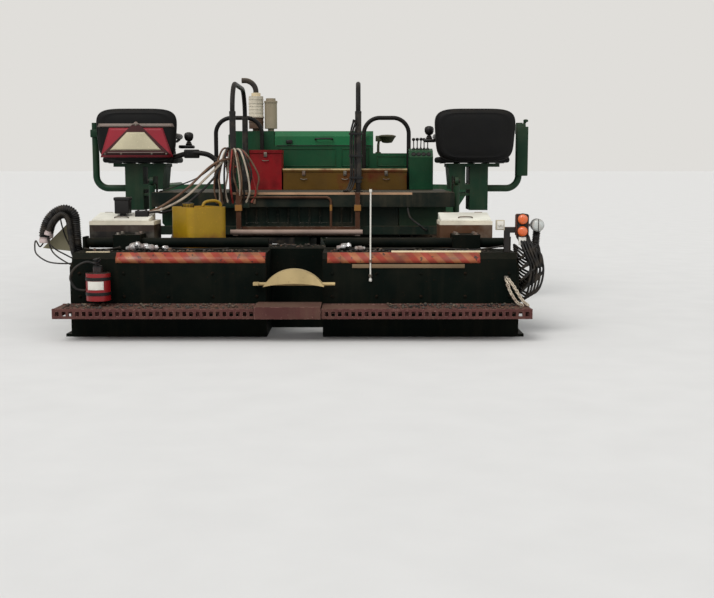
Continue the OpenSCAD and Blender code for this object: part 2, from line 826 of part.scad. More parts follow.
// Seat stand: slide bars, an open pedestal and an outer guard tube
module seat_stand_right() {
    tube_r = 30;
    tube_x = seat_x + seat_w / 2 + tube_r + 24.5;
    foot_x = deck_half + 20;
    neck_x = deck_half + 150;
    tube_z = [1020, 1600];
    bend = 110;
    mid_y = (stand_y0 + stand_y1) / 2;
    color(green) {
        for (y = bar_y) box([bar_x0, post_x], [y - bar_w / 2, y + bar_w / 2], [bar_z0, bar_z1]);
        along_y([stand_y0, stand_y1]) {
            square_from([post_x, deck_z - 170], [post_x + post_w, seat_z - 30]);
            square_from([foot_x, deck_z + 12], [post_x, deck_z + 60]);
            polygon([[foot_x, deck_z + 12], [neck_x, deck_z + 60], [neck_x, seat_z - 30],
                [deck_half, seat_z - 30]]);
        }
        box([deck_half - 10, post_x + post_w + 100], [stand_y0, stand_y1], [seat_z - 30, seat_z]);
        bar_z(tube_x, mid_y, [tube_z[0] + bend, tube_z[1]], tube_r);
        translate([tube_x - bend, mid_y, tube_z[0] + bend]) rotate([90, 0, 0])
            rotate_extrude(angle = 90, start = -90) translate([bend, 0]) circle(r = tube_r);
        bar_x([post_x + post_w, tube_x - bend], mid_y, tube_z[0], tube_r);
    }
}

module square_from(a, b) {
    translate(a) square([b[0] - a[0], b[1] - a[1]]);
}

module seat_stand_left() {
    left() seat_stand_right();
}

// Outline of a seat back: a square with full corners, narrower at its foot
module back_outline(x, z) {
    mid = [(x[0] + x[1]) / 2, (z[0] + z[1]) / 2];
    half = (x[1] - x[0]) / 2 / (1 + back_taper);
    tall = (z[1] - z[0]) / 2;
    polygon([for (i = [0 : back_n - 1])
        let (c = cos(i * 360 / back_n), s = sin(i * 360 / back_n),
            v = sign(s) * pow(abs(s), back_full), u = sign(c) * pow(abs(c), back_full))
        [mid[0] + half * u * (1 + back_taper * v), mid[1] + tall * v]]);
}
back_full = 0.42;
back_taper = 0.05;
back_n = 48;

// Seat shell: a domed back panel, a pan and two arm rests
back_y = [-990, -930];
pan_front = -380;
arm_z = [1460, 1500];
module seat_shell_right() {
    x0 = seat_x - seat_w / 2;
    x1 = seat_x + seat_w / 2;
    pan = [x0 + 35, x1 - 35];
    color(black) {
        along_y(back_y) back_outline([x0, x1], [seat_z + 20, seat_top]);
        box(pan, [back_y[1], pan_front], [seat_z, seat_z + pan_t]);
        box(pan, back_y, [seat_z, seat_z + 150]);
        for (x = [x0 + 25, x1 - 75]) box([x, x + 50], [back_y[1], -560], arm_z);
    }
}
pan_t = 60;

module seat_shell_left() {
    left() seat_shell_right();
}

module seat_pads_right() {
    x = [seat_x - seat_w / 2 + 80, seat_x + seat_w / 2 - 80];
    z0 = seat_z + pan_t + seat_gap;
    color(black) {
        box(x, [-820, pan_front - gap], [z0, seat_z + 150]);
        box(x, [back_y[1] + seat_gap, -840], [z0, seat_top - 60]);
    }
}

module seat_pads_left() {
    left() seat_pads_right();
}

// Tow arms outside the tracks, from the tow pins to the basic screed
module tow_arm() {
    ear = 12;
    difference() {
        union() {
            along_x([arm_x0, arm_x0 + arm_t]) polygon([[tow_y + 70, tow_z - 40],
                [tow_y + 40, tow_z - 75], [tow_y - 300, tow_z - 80], [-900, 330],
                [screed_front, 250], [screed_front, 540], [-1500, 500], [-900, 500],
                [tow_y - 300, tow_z + 80], [tow_y + 40, tow_z + 75], [tow_y + 70, tow_z + 40]]);
            for (x = [arm_x0, arm_x0 + arm_t - ear]) {
                along_x([x, x + ear]) polygon([[lift_y - 70, 490], [lift_y + 70, 490],
                    [lift_y + 30, lift_eye_z + 30], [lift_y - 30, lift_eye_z + 30]]);
            }
            bar_x([arm_x0, arm_x0 + arm_t], lift_y, lift_eye_z, 8);
        }
        bar_x([arm_x0 - 1, arm_x0 + arm_t + 1], tow_y, tow_z, tow_pin_r + fit);
    }
}

module tow_arms() {
    color(green) pair() tow_arm();
}

// Lift cylinders: the barrel hangs from the deck, the rod reaches the tow arm
lift_x = arm_x0 + arm_t / 2;
barrel_r = 26;
rod_r = 14;
barrel_z = [830, lift_top_z - 36];
module lift_barrel_right() {
    color(steel) difference() {
        union() {
            bar_z(lift_x, lift_y, barrel_z, barrel_r);
            bar_x([arm_x0 + 5, arm_x0 + arm_t - 5], lift_y, lift_top_z, 32);
            bar_z(lift_x, lift_y, [barrel_z[1], lift_top_z], 13);
        }
        bar_z(lift_x, lift_y, [barrel_z[0] - 1, barrel_z[1] - 15], rod_r + 1);
        bar_x([arm_x0 - 1, arm_x0 + arm_t + 1], lift_y, lift_top_z, 16 + fit);
    }
}

module lift_rod_right() {
    color(steel) difference() {
        union() {
            bar_z(lift_x, lift_y, [lift_eye_z + 48, 855], rod_r);
            box([lift_x - 6, lift_x + 6], [lift_y - 12, lift_y + 12],
                [lift_eye_z + 20, lift_eye_z + 48]);
            bar_x([lift_x - 6, lift_x + 6], lift_y, lift_eye_z, 24);
        }
        bar_x([lift_x - 8, lift_x + 8], lift_y, lift_eye_z, 8 + eye_drift);
    }
}

module lift_barrel_left() {
    left() lift_barrel_right();
}
module lift_rod_left() {
    left() lift_rod_right();
}

// Basic screed: the closed body with its sole and the bearings of the guide tubes
module basic_screed() {
    color(dark_green) {
        difference() {
            union() {
                along_x([-screed_half, screed_half]) polygon([
                    [screed_rear, sole_t], [screed_rear, screed_z], [screed_front - 60, screed_z],
                    [screed_front, screed_z - 60], [screed_front, 120],
                    [screed_front - 40, sole_t]]);
                pair() {
                    box(block_x, [guide_y - guide_r - 30, screed_rear + 60],
                        [screed_z + gap, guide_z + guide_r + 25]);
                    box(block_x, [screed_rear, screed_rear + 60], [screed_z, screed_z + gap]);
                }
            }
            pair() bar_x([block_x[0] - 1, block_x[1] + 1], guide_y, guide_z, guide_r + 0.5);
        }
        box([-screed_half, screed_half], [screed_rear, screed_front - 30], [0, sole_t]);
    }
}

// Decks at both ends of the basic screed: a top plate on open sides
end_decks = [[-ext_x1, 490 - ext_x1], [ext_x1 - 510, ext_x1 - 110]];
module screed_decks() {
    y = [screed_rear + 70, screed_front - 70];
    wall = 16;
    color([0.8, 0.78, 0.7]) for (x = end_decks) difference() {
        box(x, y, [screed_z, screed_deck_z]);
        box([x[0] + wall, x[1] - wall], [y[0] + wall, y[1] - wall],
            [screed_z - 1, screed_deck_z - 10]);
    }
}

// Spray tank: a square drum with round corners, set at an angle, with a rim and a cap
tank_x = -774;
tank_side = 330;
tank_top = 905;
tank_turn = 35;
module spray_tank() {
    h = tank_side / 2;
    reach = h * (cos(tank_turn) + sin(tank_turn));
    color([0.6, 0.47, 0.15]) translate([tank_x, screed_rear + reach, 0]) rotate(tank_turn) {
        difference() {
            translate([0, 0, screed_z + seat_gap]) linear_extrude(tank_top - screed_z - seat_gap)
                soft_rect([-h, h], [-h, h], 55);
            translate([0, 0, tank_top - 14]) linear_extrude(20)
                soft_rect([14 - h, h - 14], [14 - h, h - 14], 42);
        }
        bar_z(-60, 60, [tank_top - 14, tank_top + 22], 45);
    }
}

// Extension: a box screed on its own sole, with a guide tube and its outer bracket
module ext_box_right() {
    inner = half_gap;
    color(dark_green) {
        along_x([inner, ext_x1]) polygon([[ext_rear, sole_t], [ext_rear, screed_z - 40],
            [ext_rear + 40, screed_z], [ext_front, screed_z], [ext_front, sole_t]]);
        box([inner, ext_x1], [ext_rear, ext_front], [0, sole_t]);
        bar_x([inner + 12, ext_x1 - 20], guide_y, guide_z, guide_r);
        box([ext_x1 - 20, ext_x1], [guide_y - 60, guide_y + 60],
            [screed_z, guide_z + guide_r + 10]);
    }
}

module ext_box_left() {
    left() ext_box_right();
}

// End gate: an upright plate on a skid at the extension's outer end
module end_gate_right() {
    color(dark_green) {
        along_x([ext_x1, ext_x1 + gate_t]) polygon([[ext_rear + 10, 20], [ext_rear + 10, 500],
            [ext_rear + 120, 560], [-1900, 560], [-1800, 420], [-1760, 60], [-1800, 20]]);
        box([ext_x1, ext_x1 + 60], [ext_rear + 10, -1800], [0, 20]);
    }
}

module end_gate_left() {
    left() end_gate_right();
}

// Footboard: a slatted tread behind the extension
module footboard() {
    y0 = ext_rear - board_d;
    x0 = half_gap;
    x1 = ext_x1 + 70;
    z0 = board_z - board_h;
    n = 10;
    step = (x1 - x0 - 30) / n;
    difference() {
        box([x0, x1], [y0, y0 + 20], [z0, board_z]);
        for (x = [x0 + 22 : slot_pitch : x1 - slot_w]) {
            box([x, x + slot_w], [y0 - 1, y0 + 21], [z0 + 18, board_z - 20]);
        }
    }
    box([x0, x1], [ext_rear - 20, ext_rear], [z0, board_z]);
    for (i = [0 : n]) box([x0 + i * step, x0 + i * step + 30], [y0 + 20, ext_rear - 20],
        [z0, board_z - 4]);
    box([x0, x1], [y0 + 20, ext_rear - 20], [board_z - 12, board_z - 4]);
}

module footboard_right() {
    color([0.3, 0.2, 0.2]) footboard();
}

module footboard_left() {
    color([0.3, 0.2, 0.2]) left() footboard();
}

// Angle plate on the left footboard that laps over the right one as the extensions close
module footboard_lap() {
    y0 = ext_rear - board_d - gap;
    x = [-half_gap - 60, half_gap - gap];
    color([0.3, 0.2, 0.2]) {
        box(x, [y0 - lap_t, ext_rear - 10], [board_z + gap, board_z + gap + lap_t]);
        box(x, [y0 - lap_t, y0], [board_z - board_h, board_z + gap]);
        box([x[0], -half_gap - 10], [y0, ext_rear - 10], [board_z, board_z + gap]);
    }
}
lap_t = 8;
board_h = 70;
slot_w = 26;
slot_pitch = 46;

// Domed guard on a rod behind the gap, carried by the left extension: an arch with a
// crescent of plate across its rear
guard_half = 215;
guard_z = [372, 495];
guard_rise = 22;
module arc_disc(half, foot, top) {
    rise = top - foot;
    r = (half * half + rise * rise) / (2 * rise);
    translate([0, top - r]) circle(r = r, $fn = 96);
}
module guard_outline(inset) {
    difference() {
        intersection() {
            arc_disc(guard_half - inset, guard_z[0], guard_z[1] - inset);
            square_from([-guard_half, guard_z[0]], [guard_half, guard_z[1] + 1]);
        }
        arc_disc(guard_half, guard_z[0], guard_z[0] + guard_rise);
    }
}
module centre_guard() {
    y = [ext_rear - 130, ext_rear - 30];
    plate_t = 10;
    rod_z = guard_z[0] + 14;
    color([0.78, 0.72, 0.5]) {
        along_y(y) difference() {
            guard_outline(0);
            guard_outline(plate_t);
        }
        along_y([y[0], y[0] + plate_t]) guard_outline(0);
        bar_x([-290, 290], y[1] - 20, rod_z, 12);
        box([-290, -250], [y[1] - 40, ext_rear], [rod_z - 10, rod_z + 10]);
    }
}

// Extinguisher: a bottle in a bracket at the left end of the rear face
bottle_x = 205 - ext_x1;
bottle_r = 85;
bottle_z = [275, 470];
module extinguisher() {
    y = ext_rear - bottle_r - 5;
    color([0.6, 0.12, 0.12]) {
        bar_z(bottle_x, y, bottle_z, bottle_r);
        bar_z(bottle_x, y, [bottle_z[1], bottle_z[1] + 40], 35);
        box([bottle_x - 20, bottle_x + 20], [ext_rear - 20, ext_rear], [350, 400]);
    }
}

// Control box, lamp and junction box on a post at the right end
box_z = 795;
lamp_r = 45;
module control_box() {
    y = [ext_rear + 80, ext_rear + 120];
    arm_z = [box_z - 55, box_z - 15];
    color([0.75, 0.35, 0.15]) {
        box([ext_x1 - 80, ext_x1 - 40], y, [screed_z, arm_z[1]]);
        box([ext_x1 - 80, ext_x1], y, arm_z);
        along_y([y[0] - 20, y[1]])
            soft_rect([ext_x1, ext_x1 + 90], [box_z - 80, box_z + 80], 15);
        box([ext_x1 - 140, ext_x1 - 80], y, [box_z - 35, box_z + 35]);
        box([ext_x1 + 90, ext_x1 + 120], [y[0], y[1] - 10], [box_z - 10, box_z + 10]);
        bar_y(ext_x1 + 110 + lamp_r, [y[0] - 20, y[1] + 10], box_z, lamp_r);
    }
}

chassis_frame();
engine_block();
engine_housing();
hood_lid();
exhaust_stack();
operator_deck();
rear_steps();
handrails();
console();
deck_boxes();
side_tanks();
track_left();
track_right();
track_frames();
track_wheels();
hopper_floor();
conveyors();
wing_left();
wing_right();
push_beam();
push_roller_left();
push_roller_right();
auger_drive();
auger_left();
auger_right();
seat_stand_left();
seat_shell_left();
seat_pads_left();
seat_stand_right();
seat_shell_right();
seat_pads_right();
tow_arms();
basic_screed();
screed_decks();
spray_tank();
lift_barrel_left();
lift_rod_left();
lift_barrel_right();
lift_rod_right();
ext_box_left();
end_gate_left();
footboard_left();
footboard_lap();
centre_guard();
extinguisher();
ext_box_right();
end_gate_right();
footboard_right();
control_box();
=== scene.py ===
"""Looks of a tracked asphalt paver: paint, wear, pads, hoses, tapes and small fittings on the model.

Lengths are metres in the model's frame: +Y is the direction of travel, +X is right as seen from
behind and +Z is up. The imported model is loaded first. Each operator then makes one kind of piece or
gives the model's nodes their finish, and each piece rides on the body that carries it.
"""
import math

import bmesh
import bpy
import numpy as np
from bpy.props import FloatProperty, FloatVectorProperty, IntProperty, PointerProperty
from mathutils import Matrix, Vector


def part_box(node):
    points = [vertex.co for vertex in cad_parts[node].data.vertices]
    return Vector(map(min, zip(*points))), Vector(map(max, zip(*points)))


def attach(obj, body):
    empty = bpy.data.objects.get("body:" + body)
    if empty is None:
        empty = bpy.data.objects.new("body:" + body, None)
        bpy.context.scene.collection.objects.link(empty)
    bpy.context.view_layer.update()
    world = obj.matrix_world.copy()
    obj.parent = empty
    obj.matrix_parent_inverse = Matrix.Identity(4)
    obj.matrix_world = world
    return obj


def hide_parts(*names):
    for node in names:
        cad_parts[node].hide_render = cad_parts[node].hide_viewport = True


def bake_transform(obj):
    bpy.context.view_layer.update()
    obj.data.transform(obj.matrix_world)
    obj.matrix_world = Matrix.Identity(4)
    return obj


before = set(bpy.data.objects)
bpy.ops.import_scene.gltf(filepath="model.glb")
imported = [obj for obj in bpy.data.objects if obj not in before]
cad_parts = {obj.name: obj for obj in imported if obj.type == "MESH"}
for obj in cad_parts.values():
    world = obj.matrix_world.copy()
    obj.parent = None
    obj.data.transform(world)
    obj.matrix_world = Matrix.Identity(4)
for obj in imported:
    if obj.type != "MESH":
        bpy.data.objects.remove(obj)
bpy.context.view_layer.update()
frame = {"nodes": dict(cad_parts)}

bl_info = {
    "name": "Asphalt Paver Looks",
    "version": (1, 0, 0),
    "blender": (4, 5, 0),
    "location": "View3D > Sidebar > Paver",
    "description": "Finishes, pads, hoses and fittings of a tracked asphalt paver",
    "category": "Object",
}

# The photograph's frame in pixels and the row of its horizon
PHOTO_WIDE = 714
PHOTO_HIGH = 598
HORIZON_ROW = 168
# The floor reaches this far, so that it meets the backdrop at the horizon
FLOOR_REACH = 400
# Soft lamps: name, tilt from straight down, turn about Z, strength and apparent width in degrees
LAMPS = (("key", 42, -28, 1.9, 35), ("fill", 62, 48, 0.5, 60))
# Width of the camera's sensor in millimetres, and the studio's light from all sides
SENSOR = 36
AMBIENT = (0.93, 0.96, 1.0, 1)
AMBIENT_STRENGTH = 0.55

FULL = 2 * math.pi
# How far a rounded block's edges and corners are pulled in, as shares of the rounding
EDGE_PULL = 1 - math.sqrt(0.5)
CORNER_PULL = 0.42
SIDES = (("left", -1), ("right", 1))
# Rear top edge of the extension boxes, its bevel, and how far the tape reaches on each side
BOX_TOP = 0.6
BOX_CUT = 0.04
TAPE_REACH = ((0.207, 1.27), (0.233, 1.32))
# Seat back: points round its outline, fullness of its corners (1 is an ellipse, 0 a rectangle),
# how much narrower its foot is, its lowest height, and rows as a share of the outline and a place
BACK_COUNT = 96
BACK_FULL = 0.42
BACK_TAPER = 0.05
BACK_FOOT = 1.26
BACK_PROFILE = ((0.30, -0.9925), (0.55, -0.9905), (0.76, -0.9865), (0.83, -0.9815), (0.86, -0.9835),
                (0.92, -0.9765), (0.97, -0.965), (1.0, -0.948), (0.99, -0.934), (0.95, -0.931))
# Padded parts: how far a point may swell, cell size, frames of cloth, where they lie on the shell,
# and directions round their piping
PAD_CAP = 0.024
PAD_CELL = 0.0075
PAD_FRAMES = 20
PAD_FLOOR = 1.3005
PAD_BACK = -0.9297
WELT_COUNT = 72
# Sheets of the sign: name, finish, lift, rows, height of foot and top, and X of the foot's two ends
# and of the top's two ends
SIGN_SHEETS = (
    ("sign_field", "sign_red", 0.002, 14, 1.292, 1.545, (-1.785, -1.152, -1.70, -1.235)),
    ("sign_band", "sign_grey", 0.003, 4, 1.552, 1.582, (-1.805, -1.135, -1.79, -1.15)),
    ("sign_triangle", "sign_dark", 0.0045, 14, 1.31, 1.60, (-1.775, -1.168, -1.47, -1.462)),
    ("sign_tip", "sign_grey", 0.0065, 4, 1.568, 1.596, (-1.502, -1.43, -1.474, -1.458)),
    # Thin grey line across the border below the face: a painted highlight
    ("sign_line", "sign_grey", 0.0065, 3, 1.33, 1.337, (-1.72, -1.225, -1.715, -1.23)),
    ("sign_face", "sign_pale", 0.007, 14, 1.352, 1.508, (-1.698, -1.252, -1.545, -1.395)))
# Covers of the bundle's hoses, in turn
BUNDLE_COVERS = ("brown", "pale", "brown", "black", "pale", "black", "red")
# Routes of the bent conduits and the cables at the left end of the screed
ARCH = ((-1.602, -2.36, 0.50), (-1.645, -2.36, 0.60), (-1.655, -2.36, 0.74), (-1.665, -2.36, 0.85),
        (-1.725, -2.36, 0.893), (-1.80, -2.36, 0.872), (-1.862, -2.36, 0.81), (-1.893, -2.36, 0.73),
        (-1.895, -2.36, 0.69))
INNER_ARCH = ((-1.602, -2.30, 0.50), (-1.64, -2.305, 0.58), (-1.70, -2.305, 0.72),
              (-1.722, -2.305, 0.83), (-1.78, -2.305, 0.842), (-1.835, -2.31, 0.79),
              (-1.86, -2.315, 0.715))
OUTER_ARCH = ((-1.602, -2.42, 0.455), (-1.66, -2.42, 0.56), (-1.685, -2.415, 0.70),
              (-1.70, -2.415, 0.82), (-1.75, -2.415, 0.86), (-1.82, -2.41, 0.80),
              (-1.85, -2.405, 0.735))
CABLES_LEFT = (
    ((-1.895, -2.36, 0.655), (-1.93, -2.36, 0.615), (-1.955, -2.37, 0.66), (-1.965, -2.37, 0.62),
     (-1.95, -2.38, 0.56), (-1.86, -2.40, 0.505), (-1.73, -2.44, 0.495), (-1.602, -2.47, 0.505)),
    ((-1.864, -2.318, 0.682), (-1.87, -2.32, 0.63), (-1.83, -2.34, 0.56), (-1.74, -2.36, 0.50),
     (-1.66, -2.38, 0.47), (-1.602, -2.39, 0.47)),
    ((-1.857, -2.40, 0.708), (-1.85, -2.40, 0.65), (-1.80, -2.41, 0.60), (-1.72, -2.43, 0.56),
     (-1.65, -2.45, 0.53), (-1.602, -2.46, 0.53)),
    ((-1.602, -2.26, 0.53), (-1.64, -2.275, 0.60), (-1.70, -2.29, 0.80), (-1.745, -2.29, 0.905),
     (-1.79, -2.29, 0.86), (-1.76, -2.29, 0.70), (-1.69, -2.285, 0.56), (-1.602, -2.27, 0.46)))
# Size and wire of a chain's links, how much thicker a hose is at its crimped ends, and the number
# and depth of a track's shoes
LINK = 0.018
WIRE = 0.0046
CRIMP = 1.35
SHOES = 40
SHOE_DEEP = 0.035
# Rear face of the plate that the lamps stand on, and the axes of upright round parts
LAMP_FACE = -2.73
BOTTLE = (-1.375, -2.88)
STACK = (-0.562, 0.48)
CAP = (-0.858, -2.085)
# The hood's rear face, its raised frames along X and Z, places of latches on the boxes, and the
# reach along X of each end deck's cover
HOOD_REAR = -0.0515
HOOD_PANELS = ((-0.74, -0.38, 1.06, 1.34), (-0.30, 0.24, 1.22, 1.38), (0.30, 0.56, 1.22, 1.38),
               (0.64, 0.92, 1.22, 1.31))
CHEST_LATCHES = ((-0.398, -0.414, 1.30), *((x, -0.396, 1.13) for x in (-0.0475, 0.3335, 0.7145)))
COVER_REACH = ((-1.562, -1.13), (1.078, 1.462))
# Pieces made of plain blocks: name, finish, body, smooth angle, and each block's corners and rounding
BLOCK_FITTINGS = (
    ("lamp_plate", "knob_black", "ext_r", 35, [((1.588, -2.734, 0.722), (1.662, -2.728, 0.868), 0.003)]),
    ("lamp_tag", "label_white", "ext_r", 35, [((1.598, -2.736, 0.655), (1.652, -2.732, 0.712), 0.002)]),
    ("rub_strip", "rub_brown", "ext_r", 30, [((0.41, -2.797, 0.494), (1.21, -2.7885, 0.522), 0.002)]),
    ("edge_strip", "edge_pale", "ext_r", 30, [((0.69, -2.748, 0.6), (1.33, -2.722, 0.614), 0.003)]),
    ("edge_strip_left", "edge_pale", "ext_l", 30, [
        ((-1.49, -2.748, 0.6), (-1.32, -2.722, 0.608), 0.003)]),
    ("chain_hook", "bolt_steel", "ext_r", 35, [((1.49, -2.806, 0.405), (1.52, -2.788, 0.44), 0.004)]),
    ("deck_valve_box", "knob_black", "screed", 40, [
        ((-1.41, -2.16, 0.852), (-1.30, -2.05, 0.97), 0.008),
        ((-1.375, -2.13, 0.8), (-1.335, -2.08, 0.853), 0.004),
        ((-1.415, -2.165, 0.952), (-1.295, -2.045, 0.978), 0.006)]),
    ("guard_bracket_left", "stand_green", "seat_l", 40, [
        ((-1.93, -0.73, 1.47), (-1.855, -0.65, 1.54), 0.008)]))
# Fields of crumbs: name, body, reach along X and Y, height, and share of the usual number
CRUMB_FIELDS = (("left", "ext_l", (-1.6, -0.25, -3.06, -2.82), 0.236, 1.0),
                ("right", "ext_r", (0.65, 1.6, -3.06, -2.82), 0.236, 1.0),
                ("box_left", "ext_l", (-1.5, -0.25, -2.72, -2.50), 0.6, 0.7),
                ("box_right", "ext_r", (0.25, 1.4, -2.72, -2.50), 0.6, 0.9),
                ("screed", "screed", (-1.05, 1.0, -2.25, -1.98), 0.6, 0.8),
                ("hopper", "tractor", (-0.66, 0.66, 1.35, 2.6), 0.262, 1.4))


def tone(red, green, blue):
    """Linear colour of a paint that is named by its screen values from 0 to 255."""
    share = np.array([red, green, blue]) / 255
    curve = np.where(share < 0.04045, share / 12.92, ((share + 0.055) / 1.055) ** 2.4)
    return tuple(float(c) for c in curve)


def length(name, description, default, low=0.0, high=20.0):
    """A size in metres that the panel shows."""
    return FloatProperty(name=name, description=description, default=default, min=low, max=high,
                         subtype="DISTANCE", unit="LENGTH")


def colour(name, description, *screen):
    """A paint's colour that the panel shows, given by its screen values."""
    return FloatVectorProperty(name=name, description=description, default=tone(*screen), size=3,
                               min=0.0, max=1.0, subtype="COLOR")


class PaverSizes(bpy.types.PropertyGroup):
    """Sizes of what is added to the model, and the camera's place."""
    camera_side: length("Camera side", "Camera's distance right of the middle", 0.445, -5)
    camera_back: length("Camera distance", "Camera's distance behind the origin", 10.4)
    camera_height: length("Camera height", "Camera's height above the ground", 1.2)
    camera_focal: FloatProperty(name="Focal length", description="Focal length in frame pixels",
                                default=1075, min=300, max=4000)
    bolt: length("Bolt", "Width across a bolt's head", 0.024, 0.01, 0.06)
    tape: length("Tape", "Height of the hazard tape below the edge", 0.03, 0.005, 0.05)
    hose: length("Hose", "Diameter of a hydraulic hose", 0.022, 0.01, 0.05)
    cable: length("Cable", "Diameter of an electric cable", 0.011, 0.004, 0.03)
    crumbs: IntProperty(name="Crumbs", description="Number of asphalt crumbs on the treads",
                        default=260, min=0, max=1000)


class PaverColours(bpy.types.PropertyGroup):
    """Colours of the paints, plastics and dirt. The lid's green carries painted sunlight, and the screed's
    near black carries painted shade.
    """
    hood: colour("Hood green", "Paint of the engine housing and the stands", 9, 63, 36)
    # The lid's colour is the hood's green painted lighter: painted sunlight on the lid
    lid: colour("Lid green", "Brighter paint of the hood's lid", 12, 95, 54)
    frame: colour("Frame green", "Dark paint of the frame and the deck", 12, 32, 24)
    # The screed boxes' colour is their dark paint darkened to near black: partly paint, partly painted
    # shade
    panel: colour("Panel green", "Near black paint of the screed's boxes", 4, 11, 7)
    black: colour("Black", "Paint of the handrails", 17, 17, 18)
    steel: colour("Steel", "Worn steel", 118, 112, 104)
    chrome: colour("Chrome", "Rods and shafts", 205, 205, 205)
    rust: colour("Rust", "Rust on bare steel", 104, 62, 38)
    rubber: colour("Rubber", "Track shoes and hoses", 30, 29, 28)
    cream: colour("Cream", "Heat-stained exhaust canister", 206, 196, 176)
    cleaner: colour("Cleaner", "Housing of the air cleaner", 148, 136, 114)
    red: colour("Red", "Tool box and extinguisher", 158, 20, 28)
    ochre: colour("Ochre", "Locker on the deck", 112, 80, 22)
    yellow: colour("Yellow", "Plastic of the spray tank", 156, 122, 12)
    deck: colour("Deck cream", "Tops of the screed's end decks", 226, 216, 194)
    tan: colour("Tan", "Guard over the screed's gap", 196, 172, 122)
    orange: colour("Orange", "Lamp lenses of the control panel", 216, 92, 26)
    board: colour("Footboard", "Rusty tread of the footboards", 78, 46, 43)
    tape_warm: colour("Tape orange", "Dark stripe of the hazard tape", 148, 46, 26)
    tape_pale: colour("Tape cream", "Pale stripe of the hazard tape", 166, 108, 62)
    seat: colour("Seat", "Seat shells and pads", 14, 14, 14)
    dust: colour("Dust", "Pale road dust", 150, 130, 104)
    pale_hose: colour("Pale hose", "Sun-bleached hose covers", 178, 164, 146)
    floor: colour("Floor", "Studio floor and backdrop", 224, 222, 218)


def sizes():
    return bpy.context.scene.paver_sizes


def colours():
    return bpy.context.scene.paver_colours


# Every finish by its name
MATERIALS = {}


